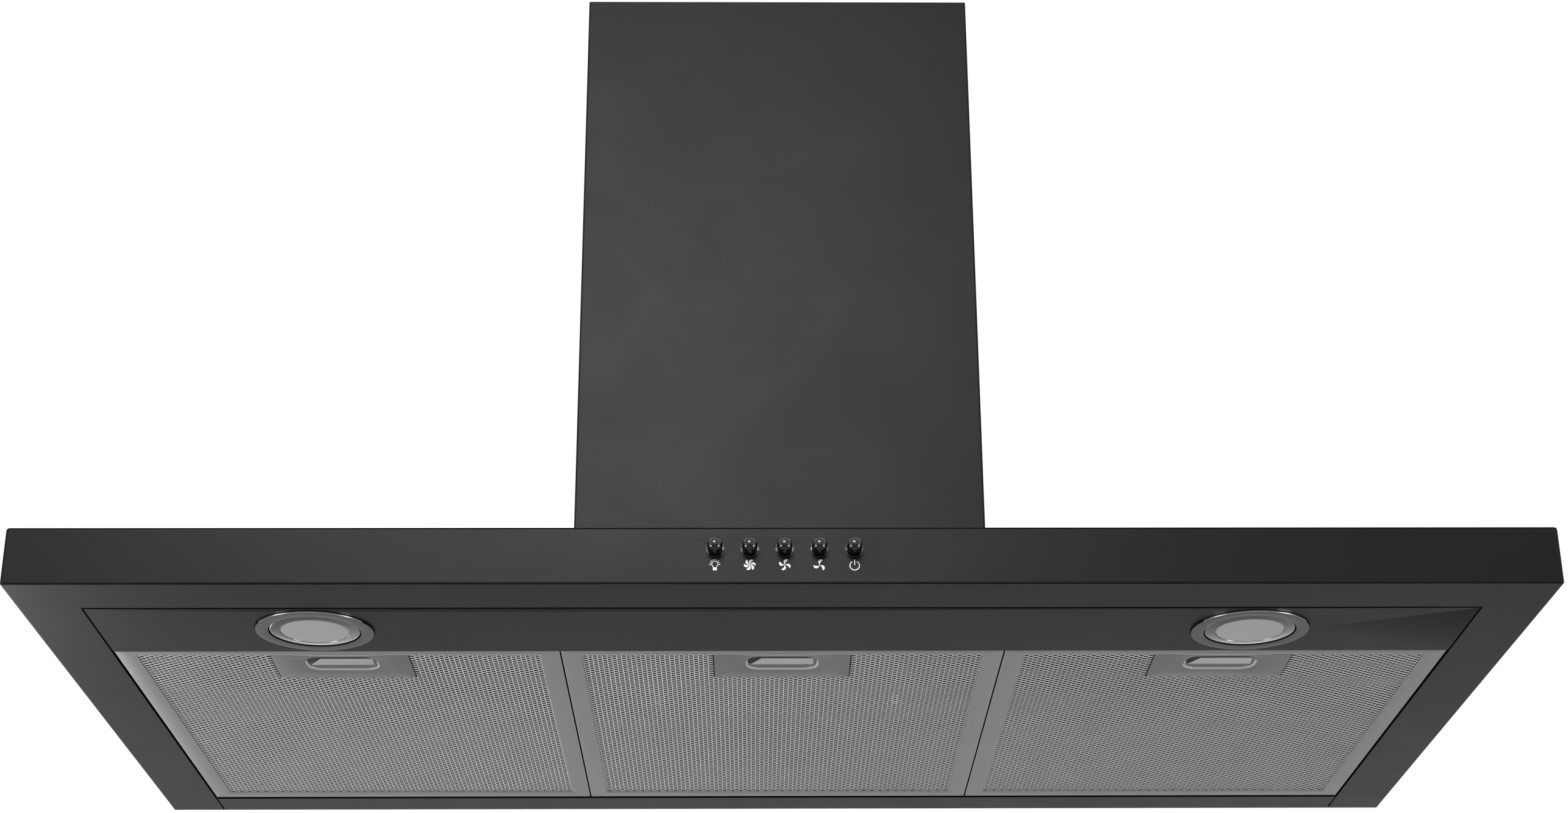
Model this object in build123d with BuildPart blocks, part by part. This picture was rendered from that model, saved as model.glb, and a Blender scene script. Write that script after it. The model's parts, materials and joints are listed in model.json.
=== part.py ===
from build123d import *
import math
import os

# Chimney range hood of the 900 mm class, which hangs on the wall above a cooker.
# Millimetres, +Z up. The origin lies on the wall plane, at the middle of the
# canopy's width and level with its underside. +X is to the right for someone
# who faces the hood, and the front looks along -Y.

os.makedirs("parts", exist_ok=True)

# ------------------------------------------------------------------ driving sizes

# sheet metal and the play that pieces are fitted with
sheet = 1.0
thin_sheet = 0.8
play = 0.3
sliding_play = 0.2
shaft_play = 0.05

# canopy
canopy_width = 900.0
canopy_depth = 495.0
canopy_height = 35.0
canopy_edge_radius = 2.0
canopy_fold_radius = 1.2
front_rail = 41.0
side_rail = 37.0
air_hole_margin_x = 28.0
air_hole_margin_y = 16.0

# base frame: lamp panel, side walls and rear strip in one pressing
lamp_panel_depth = 81.0
rear_strip = 31.0
panel_side_gap = 1.3
panel_front_gap = 2.0
frame_wall_height = 12.0
frame_foot = 15.0
catch_lip_height = 5.0
hook_lip_height = 3.5

# grease filters
filter_count = 3
filter_recess = 0.5
filter_height = 9.0
filter_rail = 12.0
filter_front_rail = 8.8
filter_side_gap = 1.2
filter_seam_gap = 1.0
filter_end_gap = 0.6
filter_rear_gap = 2.4
filter_roll_radius = 1.0
filter_tab_width = 22.0
filter_tab_reach = 6.3
filter_tab_spread = 170.0
net_thickness = 0.6
net_pitch_x = 20.8
net_pitch_y = 22.0
net_strand = 5.0

# filter latch
latch_plate_width = 85.0
latch_plate_depth = 46.0
latch_plate_height = 7.2
latch_corner_radius = 3.0
latch_slot_width = 43.0
latch_slot_depth = 24.0
latch_slot_radius = 8.0
latch_slot_setback = 4.5
latch_travel = 5.0
slider_width = 52.0
leaf_spring_room = 4.7
slider_thickness = 2.2
ridge_width = 39.0
ridge_depth = 3.0
ridge_drop = 0.9
ridge_setback = 11.0
tongue_width = 12.0
tongue_thickness = 1.6
leaf_spring_width = 30.0
leaf_spring_thickness = 0.4
leaf_spring_height = 1.6

# lamps
lamp_spacing = 564.0
lamp_setback = 82.0
lamp_bezel_radius = 35.8
lamp_bezel_bore = 27.6
lamp_bezel_flange = 1.0
lamp_bezel_bevel = 0.5
lamp_barrel_radius = 31.0
lamp_barrel_wall = 1.2
lamp_barrel_height = 9.0
lamp_glass_radius = 20.5
lamp_glass_thickness = 3.0
lamp_glass_recess = 0.2
lamp_trim_radius = 27.1
lamp_trim_rise = 0.4
lamp_can_height = 15.0
lamp_clip_width = 10.0
lamp_clip_reach = 13.0
lamp_clip_toe = 4.5
lamp_clip_rise = 10.0

# push buttons
button_names = ["light", "speed_3", "speed_2", "speed_1", "power"]
button_pitch = 20.15
button_drop = 13.6
button_radius = 4.45
button_reach = 11.0
button_travel = 3.0
button_flange_radius = 6.0
button_flange_thickness = 2.0
button_stem_radius = 2.0
collar_radius = 5.3
collar_reach = 0.8
guide_height = 20.0
guide_thickness = 2.0
guide_margin = 11.0
switch_block_gap = 12.0
switch_block_depth = 24.0
switch_block_height = 22.0
stem_entry = 4.0

# motor box and wall holes
motor_box_side_gap = 12.0
motor_box_front_gap = 22.0
motor_box_height = 300.0
wall_hole_margin_x = 38.0
wall_hole_margin_z = 50.0
wall_hole_radius = 4.25
canopy_hole_spacing = 700.0
canopy_hole_radius = 3.0
canopy_hole_height = 18.0

# blower
impeller_radius = 70.0
impeller_width = 96.0
impeller_ring_depth = 10.0
impeller_ring_thickness = 3.0
impeller_disc_thickness = 2.0
impeller_hub_radius = 10.0
impeller_hub_length = 24.0
blade_count = 36
blade_thickness = 1.2
blade_angle = 35.0
scroll_growth = 6.0
scroll_clearance = 7.0
scroll_wall = 2.0
scroll_side_gap = 5.0
scroll_box_gap = 10.0
inlet_radius = 55.0
inlet_rim = 4.0
motor_radius = 40.0
motor_end_gap = 12.0
motor_bell = 6.0
shaft_radius = 4.0
shaft_tail = 5.0
mount_ring_depth = 4.0
mount_ring_width = 12.0
mount_arm_width = 12.0
mount_arm_thickness = 3.0
mount_foot_inner = 62.0
mount_foot_outer = 69.0
mount_foot_length = 20.0
mount_arm_count = 3

# electrical fittings
capacitor_thickness = 18.0
capacitor_length = 47.0
capacitor_height = 34.0
capacitor_front_gap = 12.0
capacitor_drop = 10.0
capacitor_edge_radius = 1.5
terminal_box_depth = 32.0
terminal_box_length = 90.0
terminal_box_height = 65.0
terminal_box_gap = 18.0
terminal_box_drop = 19.0
terminal_box_wall = 2.0
terminal_lid_thickness = 2.0
gland_side_gap = 15.0
gland_y = -32.0
gland_thread_radius = 7.8
gland_bore_radius = 4.0
gland_hex_radius = 12.0
gland_hex_height = 5.0
gland_dome_radius = 9.0
gland_dome_height = 13.0
gland_tail = 9.0

# outlet collar with its two-leaf damper
outlet_front_gap = 3.0
outlet_radius = 75.0
outlet_wall = 2.5
outlet_height = 50.0
outlet_flange_radius = 88.0
outlet_flange_thickness = 2.0
outlet_stop_height = 12.0
outlet_stop_depth = 2.5
outlet_stop_thickness = 1.5
outlet_hole_radius = 70.0
rod_radius = 1.5
rod_rise = 4.0
rod_boss_length = 6.5
rod_boss_half = 3.5
flap_radius = 69.5
flap_thickness = 1.0
flap_edge_gap = 3.6
flap_corner_setback = 8.0
knuckle_radius = 2.8
knuckle_width = 24.0
knuckle_gap = 1.0

# flues
flue_width = 280.0
flue_depth = 250.0
flue_height = 512.5
flue_corner_radius = 1.5
flue_return = 8.0
flue_play = 0.6
upper_flue_rise = 1.0
flue_ear_width = 30.0
flue_ear_height = 31.0
flue_ear_floor = 15.0
flue_ear_y = -45.0
bracket_height = 25.0
bracket_drop = 8.0
bracket_sheet = 1.5
bracket_depth = 40.0
bracket_step = 10.0
bracket_joggle = 6.0
bracket_hole_spacing = 200.0
bracket_hole_radius = 3.0

# screws
screw_radius = 1.9
screw_play = 0.2
screw_head_radius = 3.8
screw_head_height = 2.4
screw_length = 4.0
box_screw_margin = 27.0
stud_radius = 1.5
stud_height = 6.0
nut_radius = 3.2
nut_height = 2.5
front_stud_spacing = 225.0
side_stud_margin = 18.5

# ---------------------------------------------------------------- derived places

canopy_half = canopy_width / 2
front_y = -canopy_depth
canopy_ceiling = canopy_height - sheet
opening_half = canopy_half - side_rail
opening_front = front_y + front_rail
panel_half = opening_half - panel_side_gap
panel_front = opening_front + panel_front_gap
panel_rear = opening_front + lamp_panel_depth
strip_front = -rear_strip
frame_wall_inner = opening_half + play
frame_foot_outer = opening_half + frame_foot
front_foot = panel_front - frame_foot

filter_span = 2 * (opening_half - filter_side_gap)
filter_width = (filter_span - (filter_count - 1) * filter_seam_gap) / filter_count
filter_pitch = filter_width + filter_seam_gap
filter_front = panel_rear + filter_end_gap
filter_rear = strip_front - filter_rear_gap
filter_bottom = filter_recess
filter_top = filter_bottom + filter_height
latch_front = filter_front + filter_front_rail
latch_rear = latch_front + latch_plate_depth
latch_top = filter_bottom + latch_plate_height
slider_front = latch_front + sheet + play
slider_rear = latch_rear - sheet - latch_travel - leaf_spring_room
slider_bottom = filter_bottom + sheet + sliding_play
tongue_bottom = slider_bottom + slider_thickness - tongue_thickness
tongue_top = tongue_bottom + tongue_thickness
tongue_tip = panel_rear + play
window_half = tongue_width / 2 + play

lamp_y = front_y + lamp_setback
lamp_hole_radius = lamp_barrel_radius + play
lamp_can_floor = lamp_barrel_height

button_count = len(button_names)
button_z = canopy_height - button_drop
guide_half = button_pitch * (button_count - 1) / 2 + guide_margin
guide_rear = front_y + sheet + guide_thickness
switch_front = guide_rear + switch_block_gap
switch_rear = switch_front + switch_block_depth
flange_front = guide_rear + play
stem_end = switch_front + stem_entry

flue_half = flue_width / 2
motor_box_depth = flue_depth - motor_box_front_gap
box_half = flue_half - motor_box_side_gap
box_wall_x = box_half - sheet
box_front = -motor_box_depth
box_floor = canopy_height
box_top = box_floor + motor_box_height
box_ceiling = box_top - sheet
air_hole_half = box_half - air_hole_margin_x
air_hole_front = box_front + air_hole_margin_y
air_hole_rear = -air_hole_margin_y
wall_hole_x = box_half - wall_hole_margin_x
box_screw_x = (air_hole_half + box_half) / 2
box_screw_ys = [-box_screw_margin, -motor_box_depth / 2, box_screw_margin - motor_box_depth]

scroll_radius = impeller_radius + scroll_clearance
scroll_half = impeller_width / 2 + scroll_side_gap
scroll_outer = scroll_half + scroll_wall
scroll_center_y = -(sheet + scroll_box_gap + scroll_wall + scroll_radius)
scroll_center_z = box_floor + sheet + scroll_box_gap + scroll_wall + scroll_radius + scroll_growth
motor_front = -(scroll_half - mount_ring_depth)
motor_rear = motor_end_gap - box_wall_x
foot_radius = (mount_foot_inner + mount_foot_outer) / 2
arm_face = -(scroll_outer + mount_foot_length)

capacitor_front = box_front + sheet + capacitor_front_gap
capacitor_rear = capacitor_front + capacitor_length
terminal_box_x = box_wall_x - terminal_box_depth
terminal_box_front = capacitor_rear + terminal_box_gap
terminal_box_rear = terminal_box_front + terminal_box_length
terminal_box_top = box_ceiling - terminal_box_drop
terminal_box_floor = terminal_box_top - terminal_box_height
capacitor_floor = terminal_box_floor - capacitor_drop
gland_x = box_wall_x - gland_side_gap - gland_hex_radius

outlet_y = box_front + outlet_front_gap + outlet_flange_radius
outlet_floor = box_top
outlet_top = outlet_floor + outlet_height
flange_top = outlet_floor + outlet_flange_thickness
stop_top = outlet_floor + outlet_stop_height + outlet_stop_thickness
rod_z = stop_top + rod_rise
flap_bottom = stop_top + play
outlet_bore = outlet_radius - outlet_wall

flue_floor = canopy_height
flue_top = flue_floor + flue_height
upper_half = flue_half - sheet - flue_play
upper_front = -(flue_depth - sheet - flue_play)
upper_rear = -(sheet + flue_play)
ear_floor = box_floor + flue_ear_floor
ear_top = ear_floor + flue_ear_height
ear_outer = flue_half - sheet - play
ear_screw_z = (ear_floor + ear_top) / 2
upper_floor = ear_top
upper_top = flue_top + upper_flue_rise
bracket_top = upper_top - bracket_drop
bracket_bottom = bracket_top - bracket_height
bracket_outer = upper_half - sheet - play
bracket_half = bracket_outer - bracket_step

# --------------------------------------------------------------------- helpers


def block(low, high, mode=Mode.ADD):
    """A box between its lowest and its highest corner, in the current part."""
    size = [top - bottom for bottom, top in zip(low, high)]
    middle = tuple((top + bottom) / 2 for bottom, top in zip(low, high))
    with Locations(middle):
        Box(*size, mode=mode)


def upright(radius, bottom, top, x=0.0, y=0.0, mode=Mode.ADD):
    """A cylinder along Z between two heights, in the current part."""
    with Locations((x, y, bottom)):
        Cylinder(radius, top - bottom, align=(Align.CENTER, Align.CENTER, Align.MIN), mode=mode)


def lengthwise(radius, left, right, y, z, mode=Mode.ADD):
    """A cylinder along X between two places, in the current part."""
    with Locations(Plane(origin=(left, y, z), z_dir=(1, 0, 0))):
        Cylinder(radius, right - left, align=(Align.CENTER, Align.CENTER, Align.MIN), mode=mode)


def pan_screw(seat, length):
    """A pan-head screw: the head stands on the seat plane and the shank goes down."""
    with Locations(seat):
        Cylinder(screw_head_radius, screw_head_height, align=(Align.CENTER, Align.CENTER, Align.MIN))
        Cylinder(screw_radius, length, align=(Align.CENTER, Align.CENTER, Align.MAX))


def save(piece, name):
    """Labels a finished piece and writes its STEP file."""
    piece.part.label = name
    export_step(piece.part, f"parts/{name}.step")


# ---------------------------------------------------------------------- canopy

button_places = [
    ((index - (button_count - 1) / 2) * button_pitch, button_z) for index in range(button_count)
]
front_stud_y = front_foot + frame_foot / 2
side_stud_x = (opening_half + frame_foot_outer) / 2
side_stud_ys = [panel_rear + side_stud_margin, panel_rear / 2, -side_stud_margin]
stud_places = [
    (side * step * front_stud_spacing / 2, front_stud_y) for side in (-1, 1) for step in (1, 3)
] + [(side * side_stud_x, y) for side in (-1, 1) for y in side_stud_ys]
box_screw_places = [(side * box_screw_x, y) for side in (-1, 1) for y in box_screw_ys]
screw_hole_radius = screw_radius + screw_play

with BuildPart() as canopy_shell:
    block((-canopy_half, front_y, 0), (canopy_half, 0, canopy_height))
    top_edges = canopy_shell.faces().sort_by(Axis.Z)[-1].edges().sort_by(Axis.Y)[:-1]
    corner_edges = canopy_shell.edges().filter_by(Axis.Z).group_by(Axis.Y)[0]
    fillet(top_edges + corner_edges, canopy_edge_radius)
    fold_edges = canopy_shell.faces().sort_by(Axis.Z)[0].edges().sort_by(Axis.Y)[:-1]
    fillet(fold_edges, canopy_fold_radius)
    block(
        (-canopy_half + sheet, front_y + sheet, sheet),
        (canopy_half - sheet, 0, canopy_ceiling),
        mode=Mode.SUBTRACT,
    )
    # opening for the base frame and the filters
    block((-opening_half, opening_front, 0), (opening_half, 0, sheet), mode=Mode.SUBTRACT)
    # the rails stop at the back panel
    block((-canopy_half + sheet, -sheet, 0), (canopy_half - sheet, 0, sheet), mode=Mode.SUBTRACT)
    # air hole up into the motor box
    block(
        (-air_hole_half, air_hole_front, canopy_ceiling),
        (air_hole_half, air_hole_rear, canopy_height),
        mode=Mode.SUBTRACT,
    )
    for x, y in box_screw_places:
        upright(screw_hole_radius, canopy_ceiling, canopy_height, x, y, mode=Mode.SUBTRACT)
    with BuildSketch(Plane.XZ.offset(canopy_depth)):
        with Locations(*button_places):
            Circle(collar_radius + play / 2)
    extrude(amount=-sheet, mode=Mode.SUBTRACT)
save(canopy_shell, "canopy_shell")

with BuildPart() as back_panel:
    block((-canopy_half + sheet, -sheet, 0), (canopy_half - sheet, 0, canopy_ceiling))
    with BuildSketch(Plane.XZ):
        with Locations((-canopy_hole_spacing / 2, canopy_hole_height)):
            Circle(canopy_hole_radius)
        with Locations((canopy_hole_spacing / 2, canopy_hole_height)):
            Circle(canopy_hole_radius)
    extrude(amount=sheet, mode=Mode.SUBTRACT)
save(back_panel, "back_panel")

# ------------------------------------------------------------------ base frame

lamp_xs = {"left": -lamp_spacing / 2, "right": lamp_spacing / 2}

with BuildPart() as base_frame:
    block((-panel_half, panel_front, 0), (panel_half, panel_rear, sheet))
    block((-panel_half, strip_front, 0), (panel_half, -sheet, sheet))
    # the lip that the latches catch and the lip that the filters' rear tabs hook on
    block((-panel_half, panel_rear - sheet, 0), (panel_half, panel_rear, catch_lip_height))
    block((-panel_half, strip_front, 0), (panel_half, strip_front + sheet, hook_lip_height))
    # the joggled front edge, whose foot lies on the canopy's front rail
    block((-panel_half, panel_front, 0), (panel_half, panel_front + sheet, 2 * sheet))
    block(
        (-frame_foot_outer, front_foot, sheet),
        (frame_foot_outer, panel_front + sheet, 2 * sheet),
    )
    for side in (-1, 1):
        wall_xs = sorted((side * frame_wall_inner, side * (frame_wall_inner + sheet)))
        foot_xs = sorted((side * frame_wall_inner, side * frame_foot_outer))
        bridge_xs = sorted((side * (panel_half - sheet), side * (frame_wall_inner + sheet)))
        block((wall_xs[0], front_foot, sheet), (wall_xs[1], -sheet, frame_wall_height))
        block((foot_xs[0], front_foot, sheet), (foot_xs[1], -sheet, 2 * sheet))
        block((bridge_xs[0], panel_front, sheet), (bridge_xs[1], panel_rear, 2 * sheet))
        block((bridge_xs[0], strip_front, sheet), (bridge_xs[1], -sheet, 2 * sheet))
    for x in lamp_xs.values():
        upright(lamp_hole_radius, 0, sheet, x, lamp_y, mode=Mode.SUBTRACT)
    for x, y in stud_places:
        upright(stud_radius + play, sheet, 2 * sheet, x, y, mode=Mode.SUBTRACT)
save(base_frame, "base_frame")

with BuildPart() as base_frame_nuts:
    for x, y in stud_places:
        upright(stud_radius, sheet, sheet + stud_height, x, y)
    with BuildSketch(Plane.XY.offset(2 * sheet)):
        with Locations(*stud_places):
            RegularPolygon(nut_radius, 6)
    extrude(amount=nut_height)
save(base_frame_nuts, "base_frame_nuts")

# --------------------------------------------------------------------- filters


def net_cells(width, depth, latch_half, latch_end):
    """Centres of a net's staggered gaps, with none over the latch's place."""
    columns = int(width / net_pitch_x)
    rows = int(2 * depth / net_pitch_y) - 1
    cells = []
    for row in range(rows):
        y = (row - (rows - 1) / 2) * net_pitch_y / 2
        shift = (row % 2) / 2
        for column in range(columns - row % 2):
            x = (column + shift - (columns - 1) / 2) * net_pitch_x
            beside_latch = abs(x) > latch_half + net_pitch_x / 2
            behind_latch = y > latch_end + net_pitch_y / 2
            if beside_latch or behind_latch:
                cells.append((x, y))
    return cells


def make_net(name, middle_x, bottom, notch):
    """A flat net that fills a filter frame, with a notch for the latch where asked."""
    low_x = middle_x - filter_width / 2 + thin_sheet + sliding_play
    high_x = middle_x + filter_width / 2 - thin_sheet - sliding_play
    low_y = filter_front + thin_sheet + sliding_play
    high_y = filter_rear - thin_sheet - sliding_play
    mesh_front = filter_front + filter_front_rail
    mesh_rear = filter_rear - filter_rail
    mesh_width = filter_width - 2 * filter_rail
    mesh_middle_y = (mesh_front + mesh_rear) / 2
    notch_half = latch_plate_width / 2 + play
    notch_rear = latch_rear + play
    mesh_depth = mesh_rear - mesh_front
    latch_end = notch_rear - mesh_middle_y if notch else -mesh_depth
    cells = net_cells(mesh_width, mesh_depth, notch_half, latch_end)
    with BuildPart() as net:
        with BuildSketch(Plane.XY.offset(bottom)):
            with Locations(((low_x + high_x) / 2, (low_y + high_y) / 2)):
                Rectangle(high_x - low_x, high_y - low_y)
            with Locations(*[(middle_x + x, mesh_middle_y + y) for x, y in cells]):
                half_x = (net_pitch_x - net_strand) / 2
                half_y = (net_pitch_y - net_strand) / 2
                Polygon((half_x, 0), (0, half_y), (-half_x, 0), (0, -half_y), mode=Mode.SUBTRACT)
            if notch:
                with Locations((middle_x, (low_y + notch_rear) / 2)):
                    Rectangle(2 * notch_half, notch_rear - low_y, mode=Mode.SUBTRACT)
        extrude(amount=net_thickness)
    save(net, name)


def make_filter_frame(name, middle_x):
    """The rail frame: a C-section ring with two hooks behind and a latch window in front."""
    low_x = middle_x - filter_width / 2
    high_x = middle_x + filter_width / 2
    with BuildPart() as filter_frame:
        block((low_x, filter_front, filter_bottom), (high_x, filter_rear, filter_top))
        rolled_edge = filter_frame.faces().sort_by(Axis.Y)[-1].edges().sort_by(Axis.Z)[0]
        fillet(rolled_edge, filter_roll_radius)
        block(
            (low_x + thin_sheet, filter_front + thin_sheet, filter_bottom + thin_sheet),
            (high_x - thin_sheet, filter_rear - thin_sheet, filter_top - thin_sheet),
            mode=Mode.SUBTRACT,
        )
        block(
            (low_x + filter_rail, filter_front + filter_front_rail, filter_bottom),
            (high_x - filter_rail, filter_rear - filter_rail, filter_top),
            mode=Mode.SUBTRACT,
        )
        block(
            (middle_x - window_half, filter_front, tongue_bottom - play),
            (middle_x + window_half, filter_front + thin_sheet, tongue_top + play),
            mode=Mode.SUBTRACT,
        )
        tab_bottom = hook_lip_height + play
        for side in (-1, 1):
            tab_x = middle_x + side * filter_tab_spread / 2
            block(
                (tab_x - filter_tab_width / 2, filter_rear - thin_sheet, tab_bottom),
                (tab_x + filter_tab_width / 2, filter_rear + filter_tab_reach, tab_bottom + thin_sheet),
            )
    save(filter_frame, name)


def make_latch_plate(name, middle_x):
    """The handle plate: a shallow closed housing with the finger slot in its face."""
    half = latch_plate_width / 2
    slot_middle = latch_front + latch_slot_setback + latch_slot_depth / 2
    with BuildPart() as latch_plate:
        block((middle_x - half, latch_front, filter_bottom), (middle_x + half, latch_rear, latch_top))
        rear_corners = latch_plate.edges().filter_by(Axis.Z).group_by(Axis.Y)[-1]
        fillet(rear_corners, latch_corner_radius)
        block(
            (middle_x - half + sheet, latch_front + sheet, filter_bottom + sheet),
            (middle_x + half - sheet, latch_rear - sheet, latch_top - sheet),
            mode=Mode.SUBTRACT,
        )
        with BuildSketch(Plane.XY.offset(filter_bottom)):
            with Locations((middle_x, slot_middle)):
                RectangleRounded(latch_slot_width, latch_slot_depth, latch_slot_radius)
        extrude(amount=sheet, mode=Mode.SUBTRACT)
        block(
            (middle_x - window_half, latch_front, tongue_bottom - play),
            (middle_x + window_half, latch_front + sheet, tongue_top + play),
            mode=Mode.SUBTRACT,
        )
    save(latch_plate, name)


def make_latch_slider(name, middle_x):
    """The slider that a finger pulls back, with its ridge in the slot and its tongue in front."""
    half = slider_width / 2
    ridge_front = slider_front + ridge_setback
    with BuildPart() as latch_slider:
        block(
            (middle_x - half, slider_front, slider_bottom),
            (middle_x + half, slider_rear, slider_bottom + slider_thickness),
        )
        block(
            (middle_x - ridge_width / 2, ridge_front, slider_bottom - ridge_drop),
            (middle_x + ridge_width / 2, ridge_front + ridge_depth, slider_bottom),
        )
        block(
            (middle_x - tongue_width / 2, tongue_tip, tongue_bottom),
            (middle_x + tongue_width / 2, slider_front, tongue_top),
        )
    save(latch_slider, name)


def make_latch_spring(name, middle_x):
    """A bowed leaf spring between the slider and the housing's rear wall."""
    half = leaf_spring_width / 2
    crown = slider_rear + play / 2
    foot = latch_rear - sheet
    with BuildPart() as latch_spring:
        with BuildSketch(Plane.XY.offset(slider_bottom)):
            with BuildLine():
                ThreePointArc((middle_x - half, foot), (middle_x, crown), (middle_x + half, foot))
                Line((middle_x + half, foot), (middle_x + half - leaf_spring_thickness, foot))
                ThreePointArc(
                    (middle_x + half - leaf_spring_thickness, foot),
                    (middle_x, crown + leaf_spring_thickness),
                    (middle_x - half + leaf_spring_thickness, foot),
                )
                Line((middle_x - half + leaf_spring_thickness, foot), (middle_x - half, foot))
            make_face()
        extrude(amount=leaf_spring_height)
    save(latch_spring, name)


filter_xs = {"left": -filter_pitch, "middle": 0.0, "right": filter_pitch}

for place, middle_x in filter_xs.items():
    make_filter_frame(f"filter_frame_{place}", middle_x)
    make_net(f"filter_net_{place}", middle_x, filter_bottom + thin_sheet, True)
    make_net(f"filter_back_net_{place}", middle_x, filter_top - thin_sheet - net_thickness, False)
    make_latch_plate(f"latch_plate_{place}", middle_x)
    make_latch_slider(f"latch_slider_{place}", middle_x)
    make_latch_spring(f"latch_spring_{place}", middle_x)

# ----------------------------------------------------------------------- lamps


def revolved(name, x, y, outline):
    """A turned piece about an upright axis, from its outline of (radius, height) points."""
    with BuildPart() as turned:
        with BuildSketch(Plane(origin=(x, y, 0), x_dir=(1, 0, 0), z_dir=(0, -1, 0))):
            with BuildLine():
                Polyline(*outline, close=True)
            make_face()
        revolve(axis=Axis((x, y, 0), (0, 0, 1)))
    save(turned, name)


barrel_bore = lamp_barrel_radius - lamp_barrel_wall
bezel_seat = sheet + play
bezel_outline = [
    (lamp_bezel_bore, -lamp_bezel_flange + lamp_bezel_bevel),
    (lamp_bezel_bore + lamp_bezel_bevel, -lamp_bezel_flange),
    (lamp_bezel_radius - lamp_bezel_bevel, -lamp_bezel_flange),
    (lamp_bezel_radius, -lamp_bezel_flange + lamp_bezel_bevel),
    (lamp_bezel_radius, 0),
    (lamp_barrel_radius, 0),
    (lamp_barrel_radius, lamp_barrel_height),
    (barrel_bore, lamp_barrel_height),
    (barrel_bore, bezel_seat),
    (lamp_bezel_bore, bezel_seat),
]
reflector_lip = lamp_glass_radius + sliding_play
trim_rim = -lamp_bezel_flange + lamp_trim_rise
glass_face = -lamp_bezel_flange + lamp_glass_recess
glass_rear = glass_face + lamp_glass_thickness
reflector_outline = [
    (barrel_bore - sliding_play, bezel_seat),
    (barrel_bore - sliding_play, bezel_seat + thin_sheet),
    (lamp_trim_radius - thin_sheet, bezel_seat + thin_sheet),
    (lamp_trim_radius - thin_sheet, trim_rim + thin_sheet),
    (reflector_lip + thin_sheet, -lamp_bezel_flange + thin_sheet),
    (reflector_lip + thin_sheet, glass_rear + thin_sheet),
    (reflector_lip - thin_sheet, glass_rear + thin_sheet),
    (reflector_lip - thin_sheet, glass_rear),
    (reflector_lip, glass_rear),
    (reflector_lip, -lamp_bezel_flange),
    (lamp_trim_radius - lamp_bezel_bevel, trim_rim),
    (lamp_trim_radius, trim_rim + lamp_bezel_bevel),
    (lamp_trim_radius, bezel_seat),
]
glass_outline = [
    (0, glass_face),
    (lamp_glass_radius - lamp_bezel_bevel, glass_face),
    (lamp_glass_radius, glass_face + lamp_bezel_bevel),
    (lamp_glass_radius, glass_rear),
    (0, glass_rear),
]
can_top = lamp_can_floor + lamp_can_height
can_outline = [
    (lamp_barrel_radius, lamp_can_floor),
    (lamp_barrel_radius, can_top),
    (0, can_top),
    (0, can_top - sheet),
    (lamp_barrel_radius - sheet, can_top - sheet),
    (lamp_barrel_radius - sheet, lamp_can_floor),
]

for place, x in lamp_xs.items():
    revolved(f"lamp_bezel_{place}", x, lamp_y, bezel_outline)
    revolved(f"lamp_reflector_{place}", x, lamp_y, reflector_outline)
    revolved(f"lamp_glass_{place}", x, lamp_y, glass_outline)
    revolved(f"lamp_can_{place}", x, lamp_y, can_outline)

with BuildPart() as lamp_clips:
    clip_knee = lamp_barrel_radius + lamp_clip_reach - lamp_clip_toe
    clip_toe = lamp_barrel_radius + lamp_clip_reach
    clip_root = lamp_can_floor + lamp_clip_rise
    clip_y = lamp_y + lamp_clip_width / 2
    for x in lamp_xs.values():
        for side in (-1, 1):
            clip_plane = Plane(origin=(x, clip_y, 0), x_dir=(side, 0, 0), z_dir=(0, -side, 0))
            with BuildSketch(clip_plane):
                with BuildLine():
                    Polyline(
                        (lamp_barrel_radius, clip_root),
                        (lamp_barrel_radius + thin_sheet, clip_root),
                        (clip_knee + thin_sheet, sheet + thin_sheet),
                        (clip_toe, sheet + thin_sheet),
                        (clip_toe, sheet),
                        (clip_knee, sheet),
                        (lamp_barrel_radius, clip_root - 2 * thin_sheet),
                        close=True,
                    )
                make_face()
            extrude(amount=side * lamp_clip_width)
save(lamp_clips, "lamp_clips")

# --------------------------------------------------------------------- buttons

with BuildPart() as button_guides:
    block(
        (-guide_half, front_y + sheet, button_z - guide_height / 2),
        (guide_half, guide_rear, button_z + guide_height / 2),
    )
    # end posts that carry the switch block
    for side in (-1, 1):
        post_xs = sorted((side * guide_half, side * (guide_half - guide_thickness)))
        block(
            (post_xs[0], guide_rear, button_z - guide_height / 2),
            (post_xs[1], switch_front, button_z + guide_height / 2),
        )
    with BuildSketch(Plane.XZ.offset(-guide_rear)):
        with Locations(*button_places):
            Circle(collar_radius)
    extrude(amount=guide_thickness + sheet + collar_reach)
    with BuildSketch(Plane.XZ.offset(-guide_rear)):
        with Locations(*button_places):
            Circle(button_radius + play)
    extrude(amount=guide_thickness + sheet + collar_reach, mode=Mode.SUBTRACT)
save(button_guides, "button_guides")

with BuildPart() as switch_block:
    block(
        (-guide_half, switch_front, button_z - switch_block_height / 2),
        (guide_half, switch_rear, button_z + switch_block_height / 2),
    )
    with BuildSketch(Plane.XZ.offset(-switch_front)):
        with Locations(*button_places):
            Circle(button_stem_radius + play)
    extrude(amount=-(stem_entry + button_travel + play), mode=Mode.SUBTRACT)
save(switch_block, "switch_block")

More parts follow.
